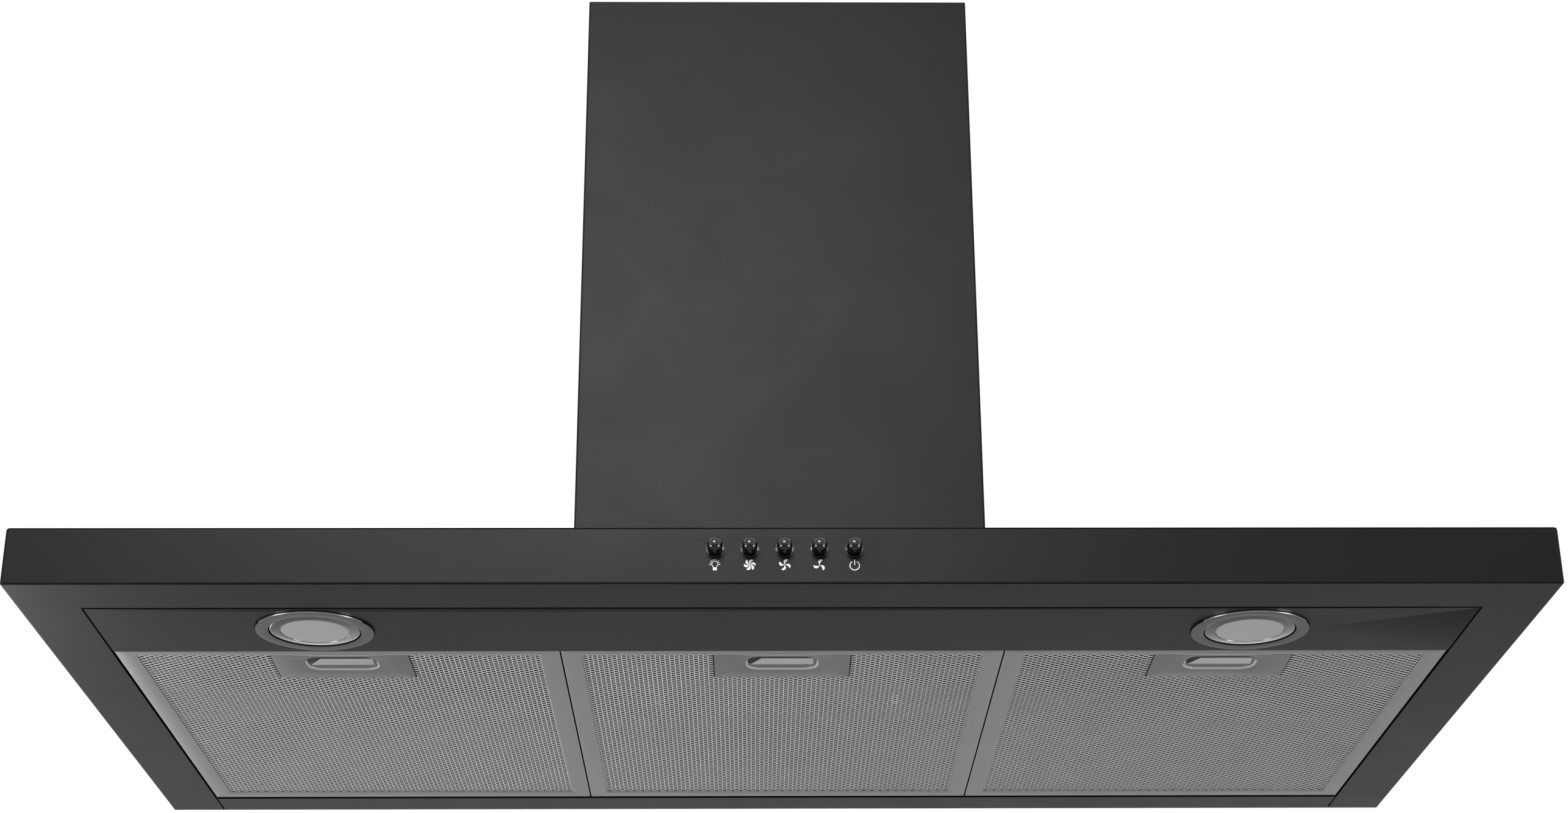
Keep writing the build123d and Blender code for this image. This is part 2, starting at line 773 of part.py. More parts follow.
for button_name, (x, z) in zip(button_names, button_places):
    with BuildPart() as button:
        with BuildSketch(Plane(origin=(x, 0, z))):
            with BuildLine():
                dome_base = front_y - button_reach + button_radius
                CenterArc((0, dome_base), button_radius, -90, 90)
                Polyline(
                    (button_radius, dome_base),
                    (button_radius, flange_front),
                    (button_flange_radius, flange_front),
                    (button_flange_radius, flange_front + button_flange_thickness),
                    (button_stem_radius, flange_front + button_flange_thickness),
                    (button_stem_radius, stem_end),
                    (0, stem_end),
                    (0, dome_base - button_radius),
                )
            make_face()
        revolve(axis=Axis((x, 0, z), (0, 1, 0)))
    save(button, f"button_{button_name}")

# ------------------------------------------------------------------- motor box

wall_hole_zs = [box_floor + wall_hole_margin_z, box_top - wall_hole_margin_z]
wall_hole_places = [(side * wall_hole_x, z) for side in (-1, 1) for z in wall_hole_zs]
collar_screw_radius = (outlet_radius + outlet_flange_radius) / 2
collar_screw_places = [
    (
        collar_screw_radius * math.cos(math.radians(angle)),
        outlet_y + collar_screw_radius * math.sin(math.radians(angle)),
    )
    for angle in (45, 135, 225, 315)
]
ear_ys = (flue_ear_y - flue_ear_width / 2, flue_ear_y + flue_ear_width / 2)

with BuildPart() as motor_box:
    block((-box_half, box_front, box_floor), (box_half, 0, box_top))
    block(
        (-box_half + sheet, box_front + sheet, box_floor + sheet),
        (box_half - sheet, -sheet, box_ceiling),
        mode=Mode.SUBTRACT,
    )
    block(
        (-air_hole_half, air_hole_front, box_floor),
        (air_hole_half, air_hole_rear, box_floor + sheet),
        mode=Mode.SUBTRACT,
    )
    upright(outlet_hole_radius, box_ceiling, box_top, 0, outlet_y, mode=Mode.SUBTRACT)
    upright(gland_thread_radius + sliding_play, box_ceiling, box_top, gland_x, gland_y, mode=Mode.SUBTRACT)
    for x, y in collar_screw_places:
        upright(screw_hole_radius, box_ceiling, box_top, x, y, mode=Mode.SUBTRACT)
    for x, y in box_screw_places:
        upright(screw_hole_radius, box_floor, box_floor + sheet, x, y, mode=Mode.SUBTRACT)
    with BuildSketch(Plane.XZ):
        with Locations(*wall_hole_places):
            Circle(wall_hole_radius)
    extrude(amount=sheet, mode=Mode.SUBTRACT)
    # ears at the sides that the lower flue is screwed to
    for side in (-1, 1):
        shelf_xs = sorted((side * box_half, side * ear_outer))
        plate_xs = sorted((side * (ear_outer - sheet), side * ear_outer))
        block((shelf_xs[0], ear_ys[0], ear_floor), (shelf_xs[1], ear_ys[1], ear_floor + sheet))
        block((plate_xs[0], ear_ys[0], ear_floor), (plate_xs[1], ear_ys[1], ear_top))
        lengthwise(screw_hole_radius, *plate_xs, flue_ear_y, ear_screw_z, mode=Mode.SUBTRACT)
save(motor_box, "motor_box")

# ---------------------------------------------------------------------- blower


def scroll_outline(grow):
    """The scroll's closed outline: three widening quarter arcs and a straight duct."""
    top = box_ceiling - scroll_center_z
    first = scroll_radius + grow
    second = first + scroll_growth
    third = second + scroll_growth
    tongue = math.sqrt(first**2 - grow**2)
    front = -scroll_growth - third
    tongue_angle = math.degrees(math.atan2(tongue, grow))
    CenterArc((0, 0), first, tongue_angle, -tongue_angle)
    CenterArc((-scroll_growth, 0), second, 0, -90)
    CenterArc((-scroll_growth, scroll_growth), third, -90, -90)
    Polyline((front, scroll_growth), (front, top), (grow, top), (grow, tongue))


scroll_place = (scroll_center_y, scroll_center_z)
scroll_left = Plane.YZ.offset(-scroll_outer)
scroll_left.origin = (-scroll_outer, *scroll_place)
scroll_inner_left = Plane.YZ.offset(-scroll_half)
scroll_inner_left.origin = (-scroll_half, *scroll_place)
scroll_right = Plane.YZ.offset(scroll_half)
scroll_right.origin = (scroll_half, *scroll_place)
foot_angles = [90 + index * 360 / mount_arm_count for index in range(mount_arm_count)]
foot_places = [
    (
        scroll_center_y + foot_radius * math.cos(math.radians(angle)),
        scroll_center_z + foot_radius * math.sin(math.radians(angle)),
    )
    for angle in foot_angles
]

with BuildPart() as fan_scroll:
    with BuildSketch(scroll_left):
        with BuildLine():
            scroll_outline(scroll_wall)
        make_face()
    extrude(amount=scroll_outer + scroll_half)
    with BuildSketch(scroll_inner_left):
        with BuildLine():
            scroll_outline(0)
        make_face()
    extrude(amount=2 * scroll_half, mode=Mode.SUBTRACT)
    lengthwise(inlet_radius, -scroll_outer, -scroll_half, *scroll_place, mode=Mode.SUBTRACT)
    for y, z in foot_places:
        lengthwise(screw_radius, -scroll_outer, -scroll_half, y, z, mode=Mode.SUBTRACT)
save(fan_scroll, "fan_scroll")

with BuildPart() as fan_scroll_cover:
    with BuildSketch(scroll_right):
        with BuildLine():
            scroll_outline(scroll_wall)
        make_face()
    extrude(amount=scroll_wall)
    lengthwise(inlet_radius + scroll_wall, scroll_half, scroll_outer + inlet_rim, *scroll_place)
    lengthwise(inlet_radius, scroll_half, scroll_outer + inlet_rim, *scroll_place, mode=Mode.SUBTRACT)
save(fan_scroll_cover, "fan_scroll_cover")

with BuildPart() as motor_mount:
    ring_left = arm_face
    ring_right = arm_face + mount_ring_width
    lengthwise(motor_radius + mount_ring_depth, ring_left, ring_right, *scroll_place)
    for angle in foot_angles:
        with Locations(
            Plane(
                origin=(0, *scroll_place),
                x_dir=(0, math.cos(math.radians(angle)), math.sin(math.radians(angle))),
                z_dir=(1, 0, 0),
            )
        ):
            with Locations(((motor_radius + mount_foot_outer) / 2, 0, arm_face + mount_arm_thickness / 2)):
                Box(mount_foot_outer - motor_radius, mount_arm_width, mount_arm_thickness)
            with Locations((foot_radius, 0, (arm_face - scroll_outer) / 2)):
                Box(mount_foot_outer - mount_foot_inner, mount_arm_width, -scroll_outer - arm_face)
    lengthwise(motor_radius, ring_left, ring_right, *scroll_place, mode=Mode.SUBTRACT)
    for y, z in foot_places:
        lengthwise(screw_hole_radius, arm_face, -scroll_outer, y, z, mode=Mode.SUBTRACT)
save(motor_mount, "motor_mount")

with BuildPart() as motor_body:
    lengthwise(motor_radius, motor_rear + motor_bell, motor_front - motor_bell, *scroll_place)
    lengthwise(motor_radius - motor_bell, motor_rear, motor_front, *scroll_place)
    lengthwise(shaft_radius + shaft_play, motor_rear, motor_front, *scroll_place, mode=Mode.SUBTRACT)
save(motor_body, "motor_body")

hub_half = impeller_hub_length / 2

with BuildPart() as motor_shaft:
    lengthwise(shaft_radius, motor_rear - shaft_tail, hub_half, *scroll_place)
save(motor_shaft, "motor_shaft")

impeller_left = -impeller_width / 2
blade_radius = impeller_radius - impeller_ring_depth / 2
blade_length = impeller_ring_depth / math.cos(math.radians(blade_angle)) - blade_thickness
blade_plane = Plane(origin=(impeller_left, *scroll_place), x_dir=(0, 1, 0), z_dir=(1, 0, 0))

with BuildPart() as impeller:
    with BuildSketch(blade_plane):
        with PolarLocations(blade_radius, blade_count):
            Rectangle(blade_length, blade_thickness, rotation=blade_angle)
    extrude(amount=impeller_width)
    for left in (impeller_left, -impeller_left - impeller_ring_thickness):
        right = left + impeller_ring_thickness
        with BuildSketch(Plane(origin=(left, *scroll_place), x_dir=(0, 1, 0), z_dir=(1, 0, 0))):
            Circle(impeller_radius)
            Circle(impeller_radius - impeller_ring_depth, mode=Mode.SUBTRACT)
        extrude(amount=right - left)
    lengthwise(impeller_radius, -impeller_disc_thickness / 2, impeller_disc_thickness / 2, *scroll_place)
    lengthwise(impeller_hub_radius, -hub_half, hub_half, *scroll_place)
    lengthwise(shaft_radius, -hub_half, hub_half, *scroll_place, mode=Mode.SUBTRACT)
save(impeller, "impeller")

# --------------------------------------------------------- electrical fittings

with BuildPart() as capacitor:
    block(
        (box_wall_x - capacitor_thickness, capacitor_front, capacitor_floor),
        (box_wall_x, capacitor_rear, capacitor_floor + capacitor_height),
    )
    face_edges = capacitor.faces().sort_by(Axis.X)[0].edges()
    fillet(face_edges, capacitor_edge_radius)
save(capacitor, "capacitor")

with BuildPart() as terminal_box:
    wall = terminal_box_wall
    block(
        (terminal_box_x, terminal_box_front, terminal_box_floor),
        (box_wall_x, terminal_box_rear, terminal_box_top),
    )
    block(
        (terminal_box_x, terminal_box_front + wall, terminal_box_floor + wall),
        (box_wall_x - wall, terminal_box_rear - wall, terminal_box_top - wall),
        mode=Mode.SUBTRACT,
    )
save(terminal_box, "terminal_box")

with BuildPart() as terminal_box_lid:
    block(
        (terminal_box_x - terminal_lid_thickness, terminal_box_front, terminal_box_floor),
        (terminal_box_x, terminal_box_rear, terminal_box_top),
    )
save(terminal_box_lid, "terminal_box_lid")

with BuildPart() as cable_gland:
    upright(gland_thread_radius, box_top - gland_tail, box_top, gland_x, gland_y)
    with BuildSketch(Plane.XY.offset(box_top)):
        with Locations((gland_x, gland_y)):
            RegularPolygon(gland_hex_radius, 6)
    extrude(amount=gland_hex_height)
    upright(gland_dome_radius, box_top, box_top + gland_hex_height + gland_dome_height, gland_x, gland_y)
    dome_edge = cable_gland.faces().sort_by(Axis.Z)[-1].edges()
    fillet(dome_edge, gland_dome_radius - gland_bore_radius - sheet)
    # the lock nut inside the motor box
    with BuildSketch(Plane.XY.offset(box_ceiling)):
        with Locations((gland_x, gland_y)):
            RegularPolygon(gland_hex_radius, 6)
    extrude(amount=-gland_hex_height)
    upright(
        gland_bore_radius,
        box_top - gland_tail,
        box_top + gland_hex_height + gland_dome_height,
        gland_x,
        gland_y,
        mode=Mode.SUBTRACT,
    )
save(cable_gland, "cable_gland")

# --------------------------------------------------------- outlet and dampers

with BuildPart() as outlet_collar:
    upright(outlet_flange_radius, outlet_floor, flange_top, 0, outlet_y)
    upright(outlet_radius, outlet_floor, outlet_top, 0, outlet_y)
    upright(outlet_bore, outlet_floor, outlet_top, 0, outlet_y, mode=Mode.SUBTRACT)
    # the ring that the flaps rest on
    with BuildSketch(Plane.XY.offset(stop_top)):
        with Locations((0, outlet_y)):
            Circle(outlet_bore + outlet_wall / 2)
            Circle(outlet_bore - outlet_stop_depth, mode=Mode.SUBTRACT)
    extrude(amount=-outlet_stop_thickness)
    # bosses for the rod's ends
    for side in (-1, 1):
        boss_xs = sorted((side * (outlet_bore + outlet_wall / 2), side * (outlet_bore - rod_boss_length)))
        block(
            (boss_xs[0], outlet_y - rod_boss_half, stop_top - outlet_stop_thickness),
            (boss_xs[1], outlet_y + rod_boss_half, rod_z + rod_boss_half),
        )
    lengthwise(rod_radius, -outlet_bore, outlet_bore, outlet_y, rod_z, mode=Mode.SUBTRACT)
    for x, y in collar_screw_places:
        upright(screw_hole_radius, outlet_floor, flange_top, x, y, mode=Mode.SUBTRACT)
save(outlet_collar, "outlet_collar")

with BuildPart() as flap_rod:
    lengthwise(rod_radius, -outlet_bore, outlet_bore, outlet_y, rod_z)
save(flap_rod, "flap_rod")


def make_flap(name, way, knuckle_lefts):
    """Half a damper disc, behind (way 1) or in front (way -1) of the rod, with its knuckles."""
    corner_half = outlet_bore - rod_boss_length - knuckle_gap
    with BuildPart() as flap:
        with BuildSketch(Plane.XY.offset(flap_bottom)):
            with Locations((0, outlet_y)):
                Circle(flap_radius)
            # only this side's half disc stays
            with Locations((0, outlet_y - way * (flap_radius - flap_edge_gap))):
                Rectangle(2 * flap_radius, 2 * flap_radius, mode=Mode.SUBTRACT)
            # the corners stay clear of the rod's bosses
            for side in (-1, 1):
                with Locations((side * (corner_half + flap_radius / 2), outlet_y)):
                    Rectangle(flap_radius, 2 * flap_corner_setback, mode=Mode.SUBTRACT)
            for left in knuckle_lefts:
                with Locations((left + knuckle_width / 2, outlet_y + way * flap_edge_gap)):
                    Rectangle(knuckle_width, 2 * flap_edge_gap)
        extrude(amount=flap_thickness)
        for left in knuckle_lefts:
            right = left + knuckle_width
            lengthwise(knuckle_radius, left, right, outlet_y, rod_z)
            block(
                (left, outlet_y - knuckle_radius, flap_bottom),
                (right, outlet_y + knuckle_radius, rod_z),
            )
            lengthwise(rod_radius + shaft_play, left, right, outlet_y, rod_z, mode=Mode.SUBTRACT)
    save(flap, name)


knuckle_step = knuckle_width + knuckle_gap
make_flap("flap_front", -1, [-2 * knuckle_step, knuckle_gap / 2])
make_flap("flap_rear", 1, [-knuckle_step + knuckle_gap / 2, knuckle_step])

# ----------------------------------------------------------------------- flues


def make_flue(name, half, front, rear, floor, top, corner, screw_place):
    """A flue cover: front and sides in one folded sheet, with short returns at the wall."""
    with BuildPart() as flue:
        block((-half, front, floor), (half, rear, top))
        fillet(flue.edges().filter_by(Axis.Z).group_by(Axis.Y)[0], corner)
        inside = half - sheet
        mouth = half - flue_return
        block((-inside, front + sheet, floor), (inside, rear - sheet, top), mode=Mode.SUBTRACT)
        block((-mouth, rear - sheet, floor), (mouth, rear, top), mode=Mode.SUBTRACT)
        for side in (-1, 1):
            wall_xs = sorted((side * half, side * (half - sheet)))
            lengthwise(screw_hole_radius, *wall_xs, *screw_place, mode=Mode.SUBTRACT)
    save(flue, name)


bracket_screw_place = (-(bracket_depth + bracket_joggle) / 2, (bracket_top + bracket_bottom) / 2)
make_flue(
    "lower_flue",
    flue_half,
    -flue_depth,
    0,
    flue_floor,
    flue_top,
    flue_corner_radius,
    (flue_ear_y, ear_screw_z),
)
make_flue(
    "upper_flue",
    upper_half,
    upper_front,
    upper_rear,
    upper_floor,
    upper_top,
    flue_corner_radius - flue_play / 2,
    bracket_screw_place,
)

with BuildPart() as flue_bracket:
    joggle_y = -bracket_joggle
    step_inner = bracket_half - bracket_sheet
    with BuildSketch(Plane.XY.offset(bracket_bottom)):
        with Locations((0, -bracket_sheet / 2)):
            Rectangle(2 * bracket_half, bracket_sheet)
        for side in (-1, 1):
            with Locations((side * (bracket_half - bracket_sheet / 2), joggle_y / 2)):
                Rectangle(bracket_sheet, bracket_joggle)
            with Locations((side * (step_inner + bracket_outer) / 2, joggle_y - bracket_sheet / 2)):
                Rectangle(bracket_outer - step_inner, bracket_sheet)
            with Locations((side * (bracket_outer - bracket_sheet / 2), (joggle_y - bracket_depth) / 2)):
                Rectangle(bracket_sheet, bracket_depth - bracket_joggle)
    extrude(amount=bracket_height)
    with BuildSketch(Plane.XZ):
        with Locations((-bracket_hole_spacing / 2, bracket_screw_place[1])):
            Circle(bracket_hole_radius)
        with Locations((bracket_hole_spacing / 2, bracket_screw_place[1])):
            Circle(bracket_hole_radius)
    extrude(amount=bracket_sheet, mode=Mode.SUBTRACT)
    for side in (-1, 1):
        wall_xs = sorted((side * bracket_outer, side * (bracket_outer - bracket_sheet)))
        lengthwise(screw_hole_radius, *wall_xs, *bracket_screw_place, mode=Mode.SUBTRACT)
save(flue_bracket, "flue_bracket")

# ---------------------------------------------------------------------- screws

with BuildPart() as blower_screws:
    for x, y in box_screw_places:
        pan_screw(Plane(origin=(x, y, box_floor + sheet), z_dir=(0, 0, 1)), screw_length)
    for x, y in collar_screw_places:
        pan_screw(Plane(origin=(x, y, flange_top), z_dir=(0, 0, 1)), screw_length)
save(blower_screws, "blower_screws")

with BuildPart() as flue_screws:
    for side in (-1, 1):
        head_seat = (side * flue_half, flue_ear_y, ear_screw_z)
        pan_screw(Plane(origin=head_seat, z_dir=(side, 0, 0)), screw_length)
save(flue_screws, "flue_screws")

with BuildPart() as flue_bracket_screws:
    # these end flush with the upper flue's outside, so that it can slide
    bracket_screw_length = bracket_sheet + play + sheet
    for side in (-1, 1):
        head_x = side * (bracket_outer - bracket_sheet)
        pan_screw(Plane(origin=(head_x, *bracket_screw_place), z_dir=(-side, 0, 0)), bracket_screw_length)
save(flue_bracket_screws, "flue_bracket_screws")
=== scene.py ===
import json
import math

import bmesh
import bpy
from bpy.props import FloatProperty, FloatVectorProperty, IntProperty, PointerProperty
from mathutils import Matrix, Vector

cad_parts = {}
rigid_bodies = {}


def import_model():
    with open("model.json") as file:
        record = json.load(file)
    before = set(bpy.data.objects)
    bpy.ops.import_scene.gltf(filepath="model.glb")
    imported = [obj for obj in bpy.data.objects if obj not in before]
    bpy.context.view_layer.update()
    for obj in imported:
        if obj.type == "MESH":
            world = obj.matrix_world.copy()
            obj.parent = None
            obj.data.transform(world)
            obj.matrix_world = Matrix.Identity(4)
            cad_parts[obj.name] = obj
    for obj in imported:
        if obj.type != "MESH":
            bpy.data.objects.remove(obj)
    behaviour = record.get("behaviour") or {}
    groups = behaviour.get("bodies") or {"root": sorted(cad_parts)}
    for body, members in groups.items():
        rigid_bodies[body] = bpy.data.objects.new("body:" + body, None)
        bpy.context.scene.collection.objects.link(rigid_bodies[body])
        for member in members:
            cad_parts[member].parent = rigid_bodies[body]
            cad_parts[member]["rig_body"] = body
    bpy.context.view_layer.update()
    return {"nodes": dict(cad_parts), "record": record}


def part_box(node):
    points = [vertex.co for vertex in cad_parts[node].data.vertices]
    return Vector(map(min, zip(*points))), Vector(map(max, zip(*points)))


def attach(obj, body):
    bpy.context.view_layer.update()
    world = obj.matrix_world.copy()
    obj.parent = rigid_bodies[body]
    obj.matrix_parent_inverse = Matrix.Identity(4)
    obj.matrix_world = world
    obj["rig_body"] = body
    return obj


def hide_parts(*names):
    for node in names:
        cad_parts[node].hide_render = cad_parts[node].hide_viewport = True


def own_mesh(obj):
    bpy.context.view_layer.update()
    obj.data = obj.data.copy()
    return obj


bl_info = {
    "name": "Chimney range hood",
    "version": (1, 0, 0),
    "blender": (4, 5, 0),
    "location": "3D Viewport > Sidebar > Hood",
    "description": "Dresses the packed range hood with its pieces, finishes, light and camera",
    "category": "Object",
}

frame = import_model()
MM = 0.001
SIDES = ("left", "right")
PLACES = ("left", "middle", "right")
BUTTONS = ("light", "speed_3", "speed_2", "speed_1", "power")
SLOT_OF = {part["node"]: part["material_slot"] for part in frame["record"]["subparts"]}
# how far a filter's rear tabs stand out behind its rails, and how far its slider is pulled
TAB_REACH = 6.3 * MM
# the slot for the latch tongue, through the filter's front rail and the handle plate
TONGUE_HALF, TONGUE_LOW, TONGUE_HIGH = 6.3 * MM, 1.5 * MM, 3.7 * MM
NET_COLUMNS, NET_ROWS = 44, 75
SCREW_HEAD = 2.4 * MM
FULL_TURN = 6.28
# angle in degrees from which an edge of a made piece, and of a smoothed CAD piece, is sharp
SHARP, CAD_SHARP = 32.0, 28.0
# points nearer than this are joined: in a made piece, in a copy of a CAD piece, and in a net
WELD, CAD_WELD, NET_WELD = 2e-7, 2e-6, 2e-5
SMALLEST_CORNER, ON_AXIS = 2e-5, 1e-7


# ------------------------------------------------------------ sizes and colours


class HoodSizes(bpy.types.PropertyGroup):
    """Sizes of the details that Blender adds to the CAD pieces."""

    net_pitch_across: FloatProperty(
        name="Net pitch across", description="Distance between gaps of the net, across the hood",
        default=0.00598, min=0.003, unit="LENGTH",
    )
    net_pitch_deep: FloatProperty(
        name="Net pitch deep", description="Distance between gaps of the net, towards the wall",
        default=0.0044, min=0.002, unit="LENGTH",
    )
    net_gap_across: FloatProperty(
        name="Net gap width", description="Width of one gap of the net",
        default=0.0024, min=0.0005, unit="LENGTH",
    )
    net_gap_deep: FloatProperty(
        name="Net gap depth", description="Depth of one gap of the net",
        default=0.0015, min=0.0005, unit="LENGTH",
    )
    net_twist: FloatProperty(
        name="Strand twist", description="How far one edge of each strand stands out",
        default=0.00012, min=0.0, unit="LENGTH",
    )
    net_relief: FloatProperty(
        name="Knot relief", description="How far the flat of each knot stands out of the net",
        default=0.00028, min=0.0, unit="LENGTH",
    )
    net_metal: FloatProperty(
        name="Net metal", description="Thickness of the net's sheet",
        default=0.0002, min=0.0001, unit="LENGTH",
    )
    rail_rounding: FloatProperty(
        name="Rail rounding", description="Radius of the filter rails' outer edges",
        default=0.0005, min=0.0001, unit="LENGTH",
    )
    mitre_gap: FloatProperty(
        name="Mitre gap", description="Half the gap where two filter rails meet",
        default=0.00006, min=0.0, unit="LENGTH",
    )
    slot_bevel: FloatProperty(
        name="Slot bevel", description="Width of the bevel round the latch's finger slot",
        default=0.0012, min=0.0002, unit="LENGTH",
    )
    round_steps: IntProperty(
        name="Round steps", description="Steps round a turned piece", default=96, min=24,
    )
    blade_count: IntProperty(
        name="Impeller blades", description="Number of blades on the impeller", default=36, min=6,
    )
    floor_drop: FloatProperty(
        name="Floor drop", description="How far the floor lies below the canopy",
        default=2.4, min=0.5, unit="LENGTH",
    )


class HoodColours(bpy.types.PropertyGroup):
    """Main colours, as linear values."""

    enamel: FloatVectorProperty(
        name="Enamel", description="Black enamel of the canopy and the flues", subtype="COLOR",
        default=(0.011, 0.011, 0.011), min=0.0, max=1.0,
    )
    aluminium: FloatVectorProperty(
        name="Aluminium", description="Filter rails and nets", subtype="COLOR",
        default=(0.42, 0.42, 0.42), min=0.0, max=1.0,
    )
    latch: FloatVectorProperty(
        name="Latch", description="Grey plate and slider of the latches", subtype="COLOR",
        default=(0.22, 0.22, 0.22), min=0.0, max=1.0,
    )
    glass: FloatVectorProperty(
        name="Glass", description="Frosted glass of the lamps", subtype="COLOR",
        default=(0.63, 0.63, 0.63), min=0.0, max=1.0,
    )
    symbols: FloatVectorProperty(
        name="Symbols", description="White print under the buttons", subtype="COLOR",
        default=(0.82, 0.82, 0.82), min=0.0, max=1.0,
    )


# ------------------------------------------------------------------ node helpers


def wire(tree, kind, sockets=None, **settings):
    """Adds a node, sets it up, and fills or links its inputs, which are given by name or number."""
    node = tree.nodes.new(kind)
    for key, value in settings.items():
        setattr(node, key, value)
    for key, value in (sockets or {}).items():
        socket = node.inputs[key]
        if isinstance(value, bpy.types.NodeSocket):
            tree.links.new(value, socket)
        else:
            socket.default_value = value
    return node


def node_tree(name, kind, inputs, outputs):
    """A node group with named sockets. Inputs are (name, kind of socket, default or None)."""
    tree = bpy.data.node_groups.new(name, kind)
    for label, sort, default in inputs:
        socket = tree.interface.new_socket(name=label, in_out="INPUT", socket_type=f"NodeSocket{sort}")
        if default is not None:
            socket.default_value = default
    for label, sort in outputs:
        tree.interface.new_socket(name=label, in_out="OUTPUT", socket_type=f"NodeSocket{sort}")
    return tree, wire(tree, "NodeGroupInput").outputs, wire(tree, "NodeGroupOutput").inputs


def math_node(tree, operation, first, second=0.0):
    """One step of arithmetic, as its output socket."""
    return wire(tree, "ShaderNodeMath", {0: first, 1: second}, operation=operation).outputs[0]


def mixed_colour(tree, share, first, second):
    """Two colours mixed by a share, as an output socket."""
    return wire(tree, "ShaderNodeMix", {0: share, 6: first, 7: second}, data_type="RGBA").outputs[2]


def object_place(tree):
    """The place on the piece, in the shared frame."""
    return wire(tree, "ShaderNodeTexCoord").outputs["Object"]


def wandering(tree, scale, low=0.0, high=1.0, **noise):
    """A slow noise over the piece, spread out between two values."""
    sockets = {"Vector": object_place(tree), "Scale": scale}
    sockets.update({key.capitalize(): value for key, value in noise.items()})
    cloud = wire(tree, "ShaderNodeTexNoise", sockets).outputs["Fac"]
    limits = {"From Min": 0.3, "From Max": 0.7, "To Min": low, "To Max": high}
    return wire(tree, "ShaderNodeMapRange", {"Value": cloud, **limits}).outputs[0]


def evaluated_mesh(piece):
    """The mesh that an object shows with its modifiers."""
    depsgraph = bpy.context.evaluated_depsgraph_get()
    return bpy.data.meshes.new_from_object(piece.evaluated_get(depsgraph), depsgraph=depsgraph)


def linked(name, data):
    """A new object in the scene."""
    made = bpy.data.objects.new(name, data)
    bpy.context.scene.collection.objects.link(made)
    return made


# ----------------------------------------------------------------- shader groups


def fine_grain_tree():
    """Tiny bumps of a coated, moulded or rolled surface, drawn out along any axis."""
    tree, start, end = node_tree(
        "Fine grain",
        "ShaderNodeTree",
        [
            ("Scale", "Float", 900.0),
            ("Stretch", "Vector", (1.0, 1.0, 1.0)),
            ("Softness", "Float", 0.5),
        ],
        [("Height", "Float")],
    )
    drawn = wire(
        tree, "ShaderNodeVectorMath", {0: object_place(tree), 1: start["Stretch"]}, operation="MULTIPLY"
    )
    noise = wire(
        tree, "ShaderNodeTexNoise",
        {"Vector": drawn.outputs[0], "Scale": start["Scale"], "Detail": 2.0, "Roughness": start["Softness"]},
    )
    tree.links.new(noise.outputs["Fac"], end["Height"])
    return tree


def brushed_lines_tree():
    """Fine lines that follow the piece's own grain map: long along it and short across it."""
    tree, start, end = node_tree(
        "Brushed lines",
        "ShaderNodeTree",
        [("Along", "Float", 25.0), ("Across", "Float", 3500.0)],
        [("Height", "Float"), ("Lines", "Float")],
    )
    place = wire(tree, "ShaderNodeUVMap", uv_map="grain").outputs["UV"]
    parts = wire(tree, "ShaderNodeSeparateXYZ", {0: place}).outputs
    along = math_node(tree, "MULTIPLY", parts[0], start["Along"])
    across = math_node(tree, "MULTIPLY", parts[1], start["Across"])
    drawn = wire(tree, "ShaderNodeCombineXYZ", {0: along, 1: across}).outputs[0]
    noise = wire(tree, "ShaderNodeTexNoise", {"Vector": drawn, "Scale": 1.0, "Detail": 3.0, "Roughness": 0.6})
    tree.links.new(noise.outputs["Fac"], end["Height"])
    tree.links.new(noise.outputs["Fac"], end["Lines"])
    return tree


def tone_drift_tree():
    """Two near colours that drift into each other over the surface."""
    tree, start, end = node_tree(
        "Tone drift",
        "ShaderNodeTree",
        [
            ("Colour", "Color", (0.5, 0.5, 0.5, 1.0)),
            ("Other colour", "Color", (0.4, 0.4, 0.4, 1.0)),
            ("Scale", "Float", 9.0),
        ],
        [("Colour", "Color")],
    )
    share = wandering(tree, start["Scale"], detail=3.0)
    tree.links.new(mixed_colour(tree, share, start["Colour"], start["Other colour"]), end["Colour"])
    return tree


def handling_tree():
    """Roughness that wanders between two values, as on a surface that is touched and wiped."""
    tree, start, end = node_tree(
        "Handling",
        "ShaderNodeTree",
        [
            ("Low", "Float", 0.3),
            ("High", "Float", 0.4),
            ("Scale", "Float", 14.0),
        ],
        [("Roughness", "Float")],
    )
    share = wandering(tree, start["Scale"], start["Low"], start["High"], detail=4.0, distortion=0.6)
    tree.links.new(share, end["Roughness"])
    return tree


def spangle_tree():
    """The crystals of hot-dip galvanised sheet."""
    tree, start, end = node_tree(
        "Spangle", "ShaderNodeTree", [("Scale", "Float", 70.0)], [("Crystals", "Float")]
    )
    place = object_place(tree)
    bent = wire(tree, "ShaderNodeTexNoise", {"Vector": place, "Scale": 60.0, "Detail": 2.0}).outputs["Color"]
    moved = wire(
        tree, "ShaderNodeVectorMath", {0: bent, 1: (0.012, 0.012, 0.012), 2: place}, operation="MULTIPLY_ADD"
    ).outputs[0]
    cells = wire(tree, "ShaderNodeTexVoronoi", {"Vector": moved, "Scale": start["Scale"]}).outputs["Color"]
    tree.links.new(wire(tree, "ShaderNodeSeparateColor", {0: cells}).outputs[0], end["Crystals"])
    return tree


GROUP_MAKERS = {
    "Fine grain": fine_grain_tree,
    "Brushed lines": brushed_lines_tree,
    "Tone drift": tone_drift_tree,
    "Handling": handling_tree,
    "Spangle": spangle_tree,
}


def spaced(values):
    """Values under the names of their sockets, which have spaces."""
    return {key.replace("_", " "): value for key, value in values.items()}


def effect(tree, name, **values):
    """Places one of the shared effects in a material, with its own values."""
    group = bpy.data.node_groups.get(name) or GROUP_MAKERS[name]()
    return wire(tree, "ShaderNodeGroup", spaced(values), node_tree=group).outputs


# --------------------------------------------------------------------- finishes


